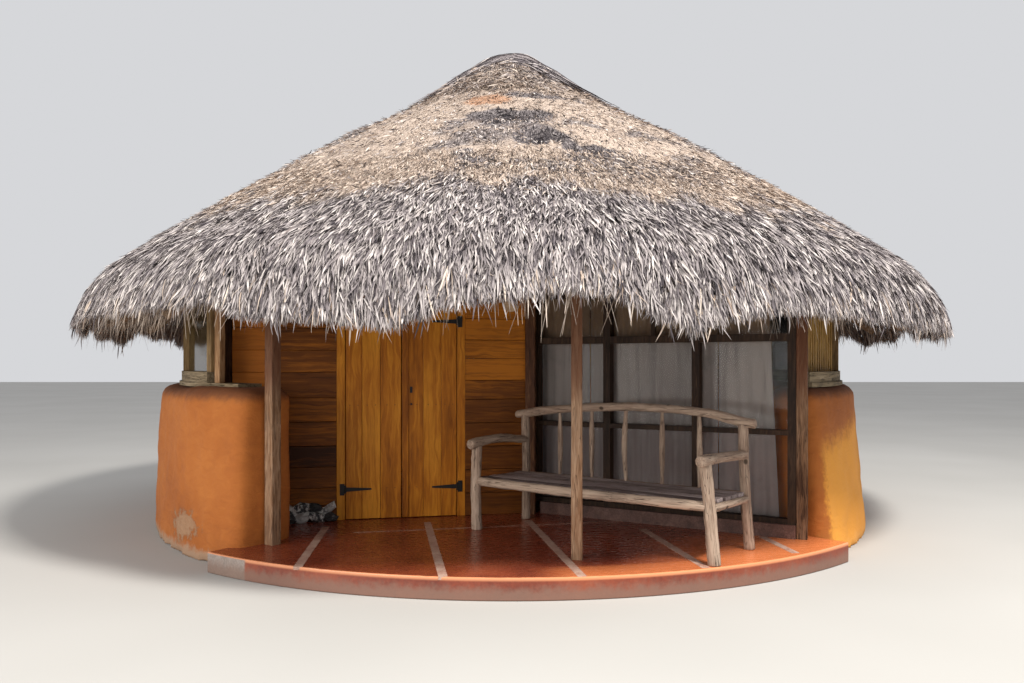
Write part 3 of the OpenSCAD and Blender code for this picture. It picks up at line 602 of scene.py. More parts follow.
def pole(points, radii, sides=10, tone=None):
    """A pole through points, with a radius at each."""
    points = [Vector(p) for p in points]
    axis = (points[-1] - points[0]).normalized()
    bpy.ops.mesh.primitive_circle_add(vertices=sides, radius=radii[0], fill_type="NGON",
                                      location=points[0],
                                      rotation=axis.to_track_quat("Z", "Y").to_euler())
    piece = settled(bpy.context.object)
    bpy.ops.object.mode_set(mode="EDIT")
    bpy.ops.mesh.select_all(action="SELECT")
    for i in range(1, len(points)):
        bpy.ops.mesh.extrude_region_move(TRANSFORM_OT_translate={"value": points[i] - points[i - 1]})
        bpy.ops.transform.resize(value=(radii[i] / radii[i - 1],) * 3, center_override=points[i])
    bpy.ops.mesh.select_all(action="SELECT")
    bpy.ops.mesh.normals_make_consistent(inside=False)
    bpy.ops.object.mode_set(mode="OBJECT")
    mark_grain(piece, points[0], axis, axis.orthogonal(), tone)
    return piece


def upright_section(r0, r1, height):
    """An upright rectangle at the right end of the porch, to be spun round the hut."""
    bpy.ops.mesh.primitive_plane_add(size=1, location=polar((r0 + r1) / 2, PIER_RIGHT, height / 2),
                                     rotation=(math.pi / 2, 0, PIER_RIGHT + math.pi / 2))
    return settled(bpy.context.object, (r1 - r0, height, 1))


def spun(piece, steps, angle, weld=None):
    """Spins a section round the hut's axis, and welds what meets closer than a distance."""
    select_only(piece)
    bpy.ops.object.mode_set(mode="EDIT")
    bpy.ops.mesh.select_all(action="SELECT")
    bpy.ops.mesh.spin(steps=steps, angle=angle, center=(0, 0, 0), axis=(0, 0, 1))
    bpy.ops.mesh.select_all(action="SELECT")
    if weld:
        bpy.ops.mesh.remove_doubles(threshold=weld)
    bpy.ops.mesh.normals_make_consistent(inside=False)
    bpy.ops.object.mode_set(mode="OBJECT")


def kept_above(piece, level):
    """Lifts what lies below a level on to it."""
    for corner in piece.data.vertices:
        corner.co.z = max(corner.co.z, level)


def smoothed(piece, angle):
    select_only(piece)
    bpy.ops.object.shade_smooth_by_angle(angle=math.radians(angle))


def dressed(piece, name, material, body="root", replaces=()):
    """Names a finished piece, gives it its finish and says what it rides on."""
    piece.name = name
    piece.data.name = name
    piece.data.materials.clear()
    piece.data.materials.append(material)
    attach(piece, body)
    if replaces:
        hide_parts(*replaces)
    return piece


def painted(material, *nodes):
    """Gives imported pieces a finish."""
    for name in nodes:
        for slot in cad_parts[name].material_slots:
            slot.material = material


def placed(place, points):
    return [place @ Vector(p) for p in points]


# Earth wall with its two rounded piers

def make_earth_wall(plaster):
    middle = (WALL_IN + WALL_OUT) / 2
    left_end = PIER_LEFT + PIER_SWELL

    def plan_angle(p):
        return math.atan2(p.x, -p.y)

    def at_outer_top(p):
        return p.z > WALL_TOP / 2 and p.xy.length > middle

    def at_an_end(p):
        return min(abs(plan_angle(p) - end) for end in (PIER_RIGHT, left_end)) < 0.002

    def rounded_edge(p, q):
        on_top = min(p.z, q.z) > WALL_TOP - 0.01
        along_top = on_top and abs(p.xy.length - q.xy.length) < 0.05
        return along_top or (at_an_end(p) and at_an_end(q) and max(p.z, q.z) > 0.01)

    wall = upright_section(WALL_IN, WALL_OUT, WALL_TOP)
    for corner in wall.data.vertices:
        if at_outer_top(corner.co):
            corner.co -= polar(WALL_BATTER, PIER_RIGHT)
    spun(wall, 120, PIER_RIGHT - left_end - FULL_TURN, weld=0.0005)
    # The right pier leans back more than the rest
    for corner in wall.data.vertices:
        away = abs(plan_angle(corner.co) - PIER_RIGHT)
        if at_outer_top(corner.co) and away < 1.0:
            corner.co -= polar(PIER_LEAN * (1 - away), plan_angle(corner.co))
    on_edges(wall, rounded_edge, bpy.ops.mesh.bevel, offset=WALL_ROUND, segments=6, affect="EDGES")
    finished_with(wall, "REMESH", mode="VOXEL", voxel_size=0.040, use_smooth_shade=True)
    roughened(wall, 0.55, 0.05)
    roughened(wall, 0.14, 0.010)
    kept_above(wall, 0.0)
    dressed(wall, "earth_wall", plaster, replaces=(
        "left_pier", "ring_wall_left", "ring_wall_back_left", "ring_wall_back", "ring_wall_back_right",
        "ring_wall_right", "right_pier"))


# Porch floor

# Strips in the floor: where each starts near the wall, and its x where it meets the porch's front line
STRIPS = ((-1.545, -2.06, -1.405), (-0.72, -1.86, -0.43), (0.150, -1.78, 0.462), (1.085, -2.16, 1.345),
          (1.975, -2.45, 2.135))
# Depth of the strips in the floor
STRIP_DEPTH = 0.020


def make_porch_floor(cement):
    """The round slab with its porch sector, and pale strips let into it."""
    bpy.ops.mesh.primitive_cylinder_add(vertices=128, radius=WALL_IN, depth=SLAB_TOP,
                                        location=(0, 0, SLAB_TOP / 2))
    disc = settled(bpy.context.object)
    overlap, sink = 0.04, 0.0004
    sector = upright_section(WALL_IN - overlap, SLAB_R, SLAB_TOP)
    spun(sector, 48, PIER_RIGHT - PIER_LEFT)
    sector.data.transform(Matrix.Translation((0, 0, -sink)))
    floor = joined([disc, sector])
    finished_with(floor, "BEVEL", width=0.008, segments=2, limit_method="ANGLE")
    dressed(floor, "porch_floor", cement, replaces=("floor_slab", "porch_slab"))

    strips = []
    for x0, y0, x1 in STRIPS:
        rim = -math.sqrt((SLAB_R - 0.004) ** 2 - x1 ** 2)
        reach = (rim - y0) * (x1 - x0) / (SLAB_FRONT - y0)
        run = frame_at(x0, y0, math.degrees(math.atan2(rim - y0, reach)))
        length = math.hypot(reach, rim - y0)
        strips.append(board(run, (0, length), (-0.03, 0.03), (-STRIP_DEPTH, 0.0012), cuts=40))
    strips.append(board(DOOR_WALL, (-0.75, 1.60), (0.545, 0.563), (-STRIP_DEPTH, 0.0008), cuts=40))
    line = joined(strips)
    roughened(line, 0.06, 0.0012)
    dressed(line, "porch_strip_lines", pale_cement(), replaces=["porch_strips"])


# Plank front, plinth and door

# Heights of the joints between boards, and places along the door wall
LEFT_JOINTS = (0.137, 0.283, 0.467, 0.65, 0.86, 1.07, 1.29, 1.48, 1.67, 1.85)
RIGHT_JOINTS = (0.2, 0.41, 0.62, 0.83, 1.043, 1.215, 1.409, 1.577, 1.767, 1.95)
PLANK_T = 0.09
DOOR_U = (0.604, 1.734)
# Each leaf from its hinge side to the meeting edge, and the shares of its width where its boards meet
LEAF_U = {"left_leaf": (1.656, 1.174), "right_leaf": (0.682, 1.164)}
LEAF_BOARDS = (0.0, 0.29, 0.62, 1.0)
LEAF_T, LEAF_Z = 0.04, (0.006, 1.936)
# Half the gap between two boards, and the tone of the boards behind the gaps
GAP, BACKING_TONE = 0.0012, 0.3


def planks(u0, u1_low, u1_high, joints, tones):
    """Boards of a plank wall, from the slab to the gable."""
    edges = (0, *joints, FRONT_H)
    rows = []
    for z0, z1, tone in zip(edges, edges[1:], tones):
        u1 = u1_low if z1 < WALL_TOP - SLAB_TOP + 0.03 else u1_high
        set_back = rng.uniform(0, 0.005)
        rows.append(board(DOOR_WALL, (u0, u1), (-PLANK_T / 2, -set_back), (z0 + GAP, z1 - GAP), tone=tone))
        rows.append(board(DOOR_WALL, (u0, u1), (-PLANK_T, -PLANK_T / 2), (z0, z1), tone=BACKING_TONE))
    return boarded(rows, depth=0.004)


def make_plank_walls():
    timber = wood("plank_boards", (0.045, 0.013, 0.003), (0.165, 0.050, 0.007), (0.50, 0.165, 0.014),
                  band=0.022, rough=0.5, knots=0.5, glow=(-2.06, (0.56, 0.175, 0.022)), wave=0.035,
                  contrast=0.7)
    left_tones = (0.35, 0.50, 0.40, 0.02, 0.50, 0.55, 0.40, 0.48, 0.42, 0.50, 0.70)
    right_tones = (0.40, 0.45, 0.35, 0.50, 0.40, 0.60, 0.92, 0.85, 0.98, 0.90, 0.85)
    left = planks(DOOR_U[1], 2.485, 2.60, LEFT_JOINTS, left_tones)
    dressed(left, "plank_wall_left", timber, replaces=["door_wall_left"])
    right = planks(0.036, DOOR_U[0], DOOR_U[0], RIGHT_JOINTS, right_tones)
    dressed(right, "plank_wall_right", timber, replaces=["door_wall_right"])
    gable_timber = wood("gable_boards", (0.05, 0.016, 0.005), (0.16, 0.05, 0.010), (0.30, 0.10, 0.018),
                        run="upright")
    painted(gable_timber, "door_wall_gable", "window_wall_gable")


def make_plinth():
    """Broken field stones piled under the left plank wall."""
    stones = []
    # Place along, out of and up the wall, size, and how pale the stone is
    for u, v, z, size, tone in (
        (1.79, 0.045, 0.040, 0.062, 0.1), (1.90, 0.050, 0.038, 0.070, 0.25),
        (2.02, 0.048, 0.040, 0.072, 0.75), (2.14, 0.050, 0.045, 0.074, 0.1),
        (2.26, 0.048, 0.042, 0.070, 0.35), (2.38, 0.048, 0.045, 0.072, 0.7),
        (1.80, 0.035, 0.120, 0.058, 0.9), (1.91, 0.038, 0.125, 0.064, 0.15),
        (2.03, 0.040, 0.120, 0.066, 0.3), (2.16, 0.038, 0.125, 0.062, 0.85),
        (2.28, 0.040, 0.120, 0.064, 0.2), (2.40, 0.038, 0.120, 0.060, 0.5),
        (1.85, 0.030, 0.085, 0.050, 0.6), (1.97, 0.032, 0.080, 0.052, 0.1),
        (2.09, 0.030, 0.085, 0.052, 0.55), (2.21, 0.032, 0.080, 0.052, 0.15),
        (2.33, 0.030, 0.085, 0.050, 0.8), (2.46, 0.030, 0.070, 0.048, 0.2),
    ):
        bpy.ops.mesh.primitive_ico_sphere_add(subdivisions=1, radius=size * 1.12,
                                              location=DOOR_WALL @ Vector((u, v, z)),
                                              scale=(1.25, 0.62, 0.70),
                                              rotation=tuple(rng.uniform(-0.6, 0.6, 3)))
        stone = settled(bpy.context.object)
        mark_grain(stone, (u, v, z), (0, 0, 1), (1, 0, 0), tone)
        stones.append(stone)
    pile = joined(stones)
    roughened(pile, 0.03, 0.05)
    kept_above(pile, SLAB_TOP)
    dressed(pile, "plinth_stones", rough_stone(), replaces=["stone_plinth"])


def make_door():
    """Two board leaves and a frame."""
    timber = wood("door_boards", (0.22, 0.062, 0.006), (0.46, 0.150, 0.011), (0.70, 0.285, 0.026),
                  rough=0.45, depth=0.0015, knots=0.8, wave=0.06)
    tones = {"left_leaf": (0.52, 0.80, 0.50), "right_leaf": (0.52, 0.62, 0.46)}
    for body, (u0, u1) in LEAF_U.items():
        boards = []
        for share, following, tone in zip(LEAF_BOARDS, LEAF_BOARDS[1:], tones[body]):
            low, high = sorted((u0 + (u1 - u0) * share, u0 + (u1 - u0) * following))
            boards.append(board(DOOR_WALL, (low + GAP, high - GAP), (-LEAF_T / 2, -rng.uniform(0, 0.003)),
                                LEAF_Z, run=2, cuts=14, tone=tone))
            boards.append(board(DOOR_WALL, (low, high), (-LEAF_T, -LEAF_T / 2), LEAF_Z, run=2, cuts=6,
                                tone=BACKING_TONE))
        if body == "right_leaf":
            # The batten that covers the meeting edges
            boards.append(board(DOOR_WALL, (1.112, 1.168), (0.0, 0.012), (LEAF_Z[0] + 0.01, LEAF_Z[1] - 0.01),
                                run=2, cuts=14, tone=0.22))
        leaf = boarded(boards, edge=0.003, depth=0.003)
        node = "door_" + "_".join(reversed(body.split("_")))
        dressed(leaf, body + "_boards", timber, body, replaces=[node])
    head_z = LEAF_Z[1] + 0.006
    jamb, stop, stop_v = 0.072, 0.02, (-0.075, -LEAF_T - 0.007)
    outer, inner = DOOR_U, (DOOR_U[0] + jamb, DOOR_U[1] - jamb)
    frame_boards = [
        board(DOOR_WALL, (outer[0], inner[0]), (-PLANK_T, 0), (0, FRONT_H), run=2, cuts=12, tone=0.55),
        board(DOOR_WALL, (inner[1], outer[1]), (-PLANK_T, 0), (0, FRONT_H), run=2, cuts=12, tone=0.80),
        board(DOOR_WALL, inner, (-PLANK_T, 0), (head_z, FRONT_H), tone=0.4),
        board(DOOR_WALL, (inner[0], inner[0] + stop), stop_v, (0, head_z), run=2, tone=0.4),
        board(DOOR_WALL, (inner[1] - stop, inner[1]), stop_v, (0, head_z), run=2, tone=0.4),
    ]
    jambs = boarded(frame_boards, depth=0.003)
    dressed(jambs, "door_jambs", timber, replaces=["door_frame"])


def studs(spots, radius, body, name, iron):
    """Round nail heads standing on the front of the door wall."""
    heads = []
    for spot_at in spots:
        bpy.ops.mesh.primitive_uv_sphere_add(segments=8, ring_count=4, radius=radius,
                                             location=DOOR_WALL @ Vector(spot_at),
                                             rotation=DOOR_WALL.to_euler(), scale=(1, 0.5, 1))
        heads.append(settled(bpy.context.object))
    dressed(joined(heads), name, iron, body)


def make_ironwork():
    """Finish of the hinges, with their nails, the nails of the boards, and the lock."""
    iron = black_iron()
    painted(iron, "left_hinges", "right_hinges", "hinge_plates")
    strap_face, plate_out = 0.0065, 0.028
    hinge_z, ledge_z = (0.266, 1.74), (0.27, 1.0, 1.74)
    for body, (u0, u1) in LEAF_U.items():
        away = math.copysign(1, u1 - u0)
        spots = [(u0 + away * d, strap_face, z) for z in hinge_z for d in (0.05, 0.12, 0.19)]
        studs(spots, 0.006, body, body + "_strap_nails", iron)
        boards = [(a + b) / 2 for a, b in zip(LEAF_BOARDS, LEAF_BOARDS[1:])]
        spots = [(u0 + (u1 - u0) * share + away * d, 0.0, z)
                 for z in ledge_z for share in boards for d in (-0.035, 0.035)
                 if z == ledge_z[1] or share > 0.5]
        studs(spots, 0.004, body, body + "_board_nails", iron)
        spots = [(u0 - away * plate_out, strap_face, z + d) for z in hinge_z for d in (-0.038, 0.038)]
        studs(spots, 0.005, "root", body + "_plate_nails", iron)
    lock_u, pull_z = 1.088, 1.005
    lock = board(DOOR_WALL, (lock_u - 0.011, lock_u + 0.011), (0.0, 0.004), (1.105, 1.16), run=2, cuts=1)
    pull = pole(placed(DOOR_WALL, [(lock_u, v, pull_z) for v in (0.0, 0.010, 0.016)]),
                (0.006, 0.006, 0.010), sides=8)
    dressed(joined([lock, pull]), "door_lock", iron, "right_leaf")


# Posts of the porch and the corner

def square_post(place, side, height, tone, lean=0.006):
    """A sawn post with cut corners that is not quite true."""
    half = side / 2
    post = board(place, (-half, half), (-half, half), (0, height), run=2, cuts=24, tone=tone)
    on_edges(post, lambda p, q: abs((q - p).normalized().z) > 0.9,
             bpy.ops.mesh.bevel, offset=0.007, segments=2, affect="EDGES")
    roughened(post, 0.5, lean)
    roughened(post, 0.07, 0.005)
    return post


def post_frame(radius, angle, turn):
    """A frame on the slab at a distance from the hut's axis and a plan angle in degrees."""
    at = polar(radius, math.radians(angle))
    return frame_at(at.x, at.y, turn)


def make_posts():
    weathered = wood("weathered_posts", (0.060, 0.028, 0.015), (0.23, 0.122, 0.064), (0.44, 0.285, 0.180),
                     band=0.018, rough=0.7, knots=0.42, cracks=0.014, grey=(0.35, (0.31, 0.215, 0.15)),
                     shade=(1.15, (0.13, 0.050, 0.026)))
    posts = []
    # Distance from the axis, plan angle, turn, width, top and tone
    for radius, angle, turn, side, top, tone in (
        (RING_R, -33.5, -34, 0.088, 2.164, 0.55),
        (RING_R - 0.04, 8.2, -4.6, 0.078, 2.164, 0.72),
        (RING_R + 0.1347, 41.9, -23, 0.082, 2.284, 0.30),
    ):
        posts.append(square_post(post_frame(radius, angle, turn), side, top - SLAB_TOP, tone))
    dressed(joined(posts), "porch_post_timber", weathered, replaces=["porch_posts"])
    red = wood("red_timber", (0.035, 0.013, 0.007), (0.10, 0.040, 0.018), (0.26, 0.125, 0.060),
               band=0.02, knots=0.5)
    corner = square_post(frame_at(*CORNER, -10), 0.09, FRONT_H, 0.5, lean=0.004)
    dressed(corner, "corner_post_timber", red, replaces=["corner_post"])
    # Dark board that closes the left end of the plank wall over the pier
    end_board = board(DOOR_WALL, (2.602, 2.672), (-PLANK_T, -0.02), (1.17, FRONT_H), run=2, cuts=10,
                      tone=0.35)
    dressed(boarded([end_board], edge=0.003, depth=0.003), "pier_end_board", red)
    # Post at the left end of the boards, on the left pier
    on_pier = post_frame(RING_R, -46.6, -30) @ Matrix.Translation((0, 0, 1.206))
    tan = wood("tan_timber", (0.12, 0.055, 0.025), (0.36, 0.195, 0.095), (0.56, 0.36, 0.20),
               band=0.016, rough=0.65)
    dressed(square_post(on_pier, 0.060, 0.80, 0.6, lean=0.003), "pier_post_timber", tan)


# Bench of driftwood poles

POLE_SIDES, POLE_STEP = 14, 0.035


def crooked(start, end, radii, bend, tone, sides=POLE_SIDES):
    """A pole between two points of the bench, with swellings and a slight bend."""
    length = (Vector(end) - Vector(start)).length
    count = max(3, round(length / POLE_STEP))
    side = Vector(rng.normal(0, bend, 3))
    shares = np.linspace(0, 1, count)
    points = [Vector(start).lerp(Vector(end), t) + side * math.sin(math.pi * t) for t in shares]
    swell = np.interp(shares, np.linspace(0, 1, len(radii)), radii) * (1 + rng.normal(0, 0.012, count))
    return pole(placed(BENCH, points), list(swell), sides, tone)


def bent_pole(points, radii, tone):
    """A pole along the points of a curve in the bench's frame."""
    points = np.array(points, dtype=float)
    at = np.concatenate([[0], np.cumsum(np.linalg.norm(np.diff(points, axis=0), axis=1))])
    steps = np.linspace(0, at[-1], max(4, round(at[-1] / POLE_STEP)))
    finer = np.stack([np.interp(steps, at, points[:, i]) for i in range(3)], axis=-1)
    finer[1:-1] = (finer[:-2] + finer[1:-1] * 2 + finer[2:]) / 4
    swell = np.interp(steps, np.linspace(0, at[-1], len(radii)), radii)
    swell *= 1 + rng.normal(0, 0.012, len(steps))
    return pole(placed(BENCH, finer), list(swell), POLE_SIDES, tone)


def driftwood_finish(pieces, depth=0.007):
    """Joins poles, rounds their sawn ends and dents their sides."""
    piece = joined(pieces)
    finished_with(piece, "BEVEL", width=0.006, segments=2, limit_method="ANGLE",
                  angle_limit=math.radians(60))
    roughened(piece, 0.09, depth)
    roughened(piece, 0.025, 0.003)
    smoothed(piece, 50)
    return piece


BENCH_L, BENCH_D, SEAT_Z = 2.04, 0.62, 0.425
LEAN = 0.05
FRONT_LEG_TOP, BACK_LEG_TOP = 0.690, 0.915
BACK_LEGS = (0.055, 2.07)
# Curve of the back rail, along the bench and up, and the places of the spindles
BACK_RAIL = ((-0.045, 0.914), (0, 0.922), (0.32, 0.966), (0.72, 1.0), (1.1, 1.018), (1.5, 1.008),
             (1.78, 0.985), (1.97, 0.942), (2.06, 0.926), (2.115, 0.922))
SPINDLES = (0.409, 0.727, 1.050, 1.367, 1.677)


def make_bench():
    timber = wood("driftwood", (0.13, 0.082, 0.056), (0.31, 0.216, 0.160), (0.50, 0.375, 0.285),
                  band=0.016, rough=0.75, depth=0.003, knots=0.28, cracks=0.016)
    seat_timber = wood("seat_boards", (0.110, 0.080, 0.076), (0.30, 0.235, 0.225), (0.50, 0.410, 0.395),
                       band=0.02, rough=0.68, depth=0.003, cracks=0.02)
    leg = (0.046, 0.044, 0.042, 0.043, 0.041, 0.042, 0.044, 0.042)
    back_leg = (0.040, 0.039, 0.037, 0.038, 0.036, 0.038, 0.036)
    left, right = BACK_LEGS
    legs = [
        crooked((0, 0, 0), (0, 0, FRONT_LEG_TOP), leg, 0.004, 0.75),
        crooked((BENCH_L + 0.015, 0, 0), (BENCH_L - LEAN, 0, FRONT_LEG_TOP), leg, 0.005, 0.8),
        crooked((left, BENCH_D, 0), (left - 0.01, BENCH_D, BACK_LEG_TOP), back_leg, 0.004, 0.55),
        crooked((right, BENCH_D, 0), (right - LEAN, BENCH_D, BACK_LEG_TOP), back_leg, 0.005, 0.6),
    ]
    dressed(driftwood_finish(legs, 0.008), "bench_leg_poles", timber, replaces=["bench_legs"])

    back = [bent_pole([(x, BENCH_D, z) for x, z in BACK_RAIL],
                      (0.033, 0.040, 0.034, 0.033, 0.036, 0.034, 0.033, 0.033, 0.034, 0.041, 0.034), 0.72)]
    low_z = SEAT_Z - 0.03
    back.append(crooked((left + 0.02, BENCH_D, low_z), (right - 0.03, BENCH_D, low_z), (0.025,) * 7,
                        0.004, 0.4))
    for x in SPINDLES:
        top = np.interp(x, *zip(*BACK_RAIL))
        back.append(crooked((x, BENCH_D, low_z), (x, BENCH_D, top - 0.005),
                            (0.013, 0.015, 0.021, 0.023, 0.022, 0.018, 0.011), 0.006, 0.6, sides=10))
    dressed(driftwood_finish(back), "bench_back_poles", timber, replaces=["bench_back"])

    arms = []
    arm_front, arm_z = -0.085, 0.702
    for x0, x1, rise, droop in ((-0.005, left, 0.030, 0.0), (BENCH_L - LEAN, right - 0.035, 0.008, 0.010)):
        points = []
        for t in np.arange(9) / 8:
            arch = rise * math.sin(math.pi * min(1, t * 1.1)) - droop * t
            points.append((x0 + (x1 - x0) * t, arm_front + t * (BENCH_D - arm_front), arm_z + arch))
        arms.append(bent_pole(points, (0.040, 0.044, 0.038, 0.035, 0.037, 0.036, 0.035, 0.035, 0.032), 0.66))
    dressed(driftwood_finish(arms), "bench_arm_poles", timber, replaces=["bench_arms"])

    front_z, side_z = SEAT_Z - 0.033, SEAT_Z - 0.055
    rails = [
        crooked((0.01, 0, front_z + 0.004), (BENCH_L - 0.035, 0, front_z),
                (0.034, 0.037, 0.035, 0.037, 0.038, 0.036, 0.035, 0.037, 0.033), 0.004, 1.0),
        crooked((0.0, 0.0, side_z), (left, BENCH_D, side_z), (0.027,) * 5, 0.003, 0.6),
        crooked((BENCH_L - 0.028, 0.0, side_z), (right - 0.02, BENCH_D, side_z), (0.027,) * 5, 0.003, 0.9),
    ]
    dressed(driftwood_finish(rails), "bench_rail_poles", timber, replaces=["bench_seat"])

    boards = []
    edges = np.linspace(0.036, BENCH_D - 0.046, 6)
    for v0, v1 in zip(edges, edges[1:]):
        shift = 0.055 * v0 / BENCH_D
        ends = rng.uniform(-0.006, 0.004, 2)
        sink = rng.uniform(0, 0.004)
        boards.append(board(BENCH, (-0.02 + shift + ends[0], BENCH_L - 0.03 + shift + ends[1]),
                            (v0 + 0.004, v1 - 0.004), (SEAT_Z - 0.03, SEAT_Z - sink), cuts=16))
    # The bearer under the middle of the seat
    boards.append(board(BENCH, (BENCH_L / 2 - 0.025, BENCH_L / 2 + 0.025), (0.03, BENCH_D - 0.02),
                        (SEAT_Z - 0.083, SEAT_Z - 0.031), run=1, cuts=4))
    dressed(boarded(boards, edge=0.006, size=0.3, depth=0.010), "bench_seat_boards", seat_timber)


# Windows and curtains

# Each curtain's two sides along the window wall, their foot and head, and their place behind the glass
CURTAIN_PANELS = ((0.015, 0.508), (0.514, 1.672), (1.678, 2.098))
CURTAIN_Z = (0.132, 1.98)
CURTAIN_V = 0.192


def curtain_panel(u0, u1, index, cloth):
    """One hanging width of cloth with soft folds that widen towards its hem."""
    foot, head = CURTAIN_Z
    height = head - foot
    grid, fold_width = 0.012, 0.105
    middle = Vector(((u0 + u1) / 2, CURTAIN_V, (foot + head) / 2))
    bpy.ops.mesh.primitive_grid_add(x_subdivisions=int((u1 - u0) / grid), y_subdivisions=60, size=1,
                                    location=WINDOW_WALL @ middle,
                                    rotation=(math.pi / 2, 0, WINDOW_WALL.to_euler().z))
    panel = settled(bpy.context.object, (u1 - u0, height, 1))
    inwards = WINDOW_WALL.to_3x3() @ Vector((0, 1, 0))
    along = WINDOW_WALL.to_3x3() @ Vector((1, 0, 0))
    into = WINDOW_WALL.inverted()
    for point in panel.data.vertices:
        u, _, z = into @ point.co
        drop = (head - z) / height
        sway = noise.noise(Vector((u * 2.2, z * 0.5, index * 7.3))) * 0.6
        fold = math.sin((u + sway * 0.09) * FULL_TURN / fold_width + index) * (0.005 + 0.008 * drop)
        soft = noise.noise(Vector((u * 5, z * 1.1, index * 3.1))) * 0.014
        hem_roll = 0.006 * math.exp(-((z - foot) / 0.02) ** 2)
        # The last curtain hangs askew
        spread_out = (drop * 0.085 - 0.02) * (u - u0) / (u1 - u0) if index == 2 else 0
        point.co += inwards * (fold + soft + hem_roll) + along * spread_out
    dressed(panel, f"curtain_{index + 1}", cloth,
            replaces=["curtains"] if index == 0 else ())
    smoothed(panel, 80)


def make_windows():
    cloth = curtain_cloth()
    for index, (u0, u1) in enumerate(CURTAIN_PANELS):
        curtain_panel(u0, u1, index, cloth)
    painted(window_glass("window_glass", (0.07, 0.075, 0.08), 0.10), "window_glass")
    painted(window_glass("side_glass", (0.085, 0.060, 0.026), 0.82), "side_glass")


def paint_timber():
    """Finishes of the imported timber: window frame, upper ring and poles of the roof."""
    bark = (0.07, 0.042, 0.025), (0.20, 0.125, 0.075), (0.36, 0.25, 0.16)
    for name, colours, settings, nodes in (
        ("dark_frame", ((0.010, 0.006, 0.004), (0.030, 0.016, 0.010), (0.075, 0.040, 0.022)),
         {"run": "upright", "band": 0.02, "rough": 0.55, "grey": (0.2, (0.12, 0.07, 0.04))},
         ["window_frame"]),
        ("grey_sills", ((0.09, 0.065, 0.04), (0.25, 0.19, 0.115), (0.42, 0.33, 0.22)),
         {"run": "round", "band": 0.025, "rough": 0.75, "cracks": 0.02}, ["wall_plate", "sill_beam"]),
        ("ring_timber", ((0.05, 0.022, 0.012), (0.14, 0.065, 0.034), (0.26, 0.13, 0.07)),
         {"run": "round", "band": 0.025, "rough": 0.65}, ["ring_beam"]),
        ("ring_post_timber", ((0.08, 0.050, 0.022), (0.25, 0.155, 0.070), (0.42, 0.29, 0.14)),
         {"run": "upright", "band": 0.02}, ["ring_posts"]),
        ("palm_ribs", ((0.14, 0.070, 0.018), (0.38, 0.21, 0.055), (0.60, 0.38, 0.12)),
         {"run": "upright", "band": 0.014, "cracks": 0.02}, ["slat_panels"]),
        ("roof_poles", bark, {"run": "radial", "rough": 0.7, "knots": 0.5},
         ["rafters", "jack_rafters", "roof_hub"]),
        ("purlin_poles", bark, {"run": "round", "band": 0.02, "rough": 0.7}, ["purlins"]),
    ):
        painted(wood(name, *colours, **settings), *nodes)


# Thatch

BEND_R, BEND_RADIUS = 3.85, 0.79
BEND_S = BEND_R / math.cos(PITCH)
LEVEL_S = BEND_S + BEND_RADIUS * (math.pi / 2 - PITCH)
# Height of the fringe's tips over the ground at plan angles in degrees, read along the front
FRINGE = ((-75, 1.76), (-60, 1.80), (-50, 1.84), (-40, 1.84), (-33, 1.85), (-27.5, 1.87), (-22, 1.73),
          (-17, 1.75), (-10, 1.675), (-6, 1.78), (-1, 1.85), (4.6, 1.92), (9, 1.88), (12, 1.74), (15, 1.67),
          (19.7, 1.75), (25, 1.80), (31, 1.79), (38, 1.75), (45, 1.74), (60, 1.72), (75, 1.74))
# Radius at which the long silver leaves start, at plan angles in degrees
SILVER_R = ((-180, 3.1), (-120, 3.3), (-90, 3.1), (-60, 3.2), (-35, 3.38), (-20, 3.42), (-12, 3.15),
            (-7, 3.0), (0, 3.22), (10, 3.38), (28, 3.4), (55, 3.4), (80, 3.3), (120, 3.1), (180, 3.1))
# Hollows, darkened with painted shade, and rough spots: radius, plan angle, half length down the roof and
# half width
HOLLOWS = ((2.00, -0.5, 0.16, 0.37), (2.50, 6.0, 0.14, 0.19), (2.76, 13.5, 0.13, 0.22))
ROUGH_SPOTS = ((2.20, -2.0, 0.22, 0.50), (2.45, -6.0, 0.22, 0.42), (2.62, -11.0, 0.20, 0.30),
               (2.95, -4.0, 0.18, 0.26), (2.52, 6.0, 0.16, 0.30), (3.00, 17.5, 0.28, 0.28),
               (3.02, 5.0, 0.16, 0.20), (2.3, 29.0, 0.14, 0.24), (2.15, 14.0, 0.10, 0.16),
               (3.02, 27.0, 0.16, 0.20), (2.75, 33.0, 0.14, 0.16), (1.35, 9.0, 0.10, 0.3),
               (3.0, 26.0, 0.2, 0.4))
# Spot of fresher orange leaves
ORANGE_SPOT = (1.50, -8.0, 0.17, 0.22)
# The ring of painted shade round the foot of the cap, and its width
CAP_SHADE_R, CAP_SHADE_W = 1.15, 0.35
# Height of the thatch over the straight cone, at distances from the point of the roof
CROWN_X = -0.05
CROWN = ((0, -0.085), (0.1, -0.030), (0.2, 0.022), (0.28, 0.058), (0.36, 0.055), (0.46, 0.045),
         (0.62, 0.048), (0.75, 0.026), (0.9, 0.014), (1.2, 0.016), (1.5, 0.035), (1.9, 0.075),
         (2.4, 0.088), (3.0, 0.072), (3.5, 0.055), (3.85, 0.032), (4.15, 0))


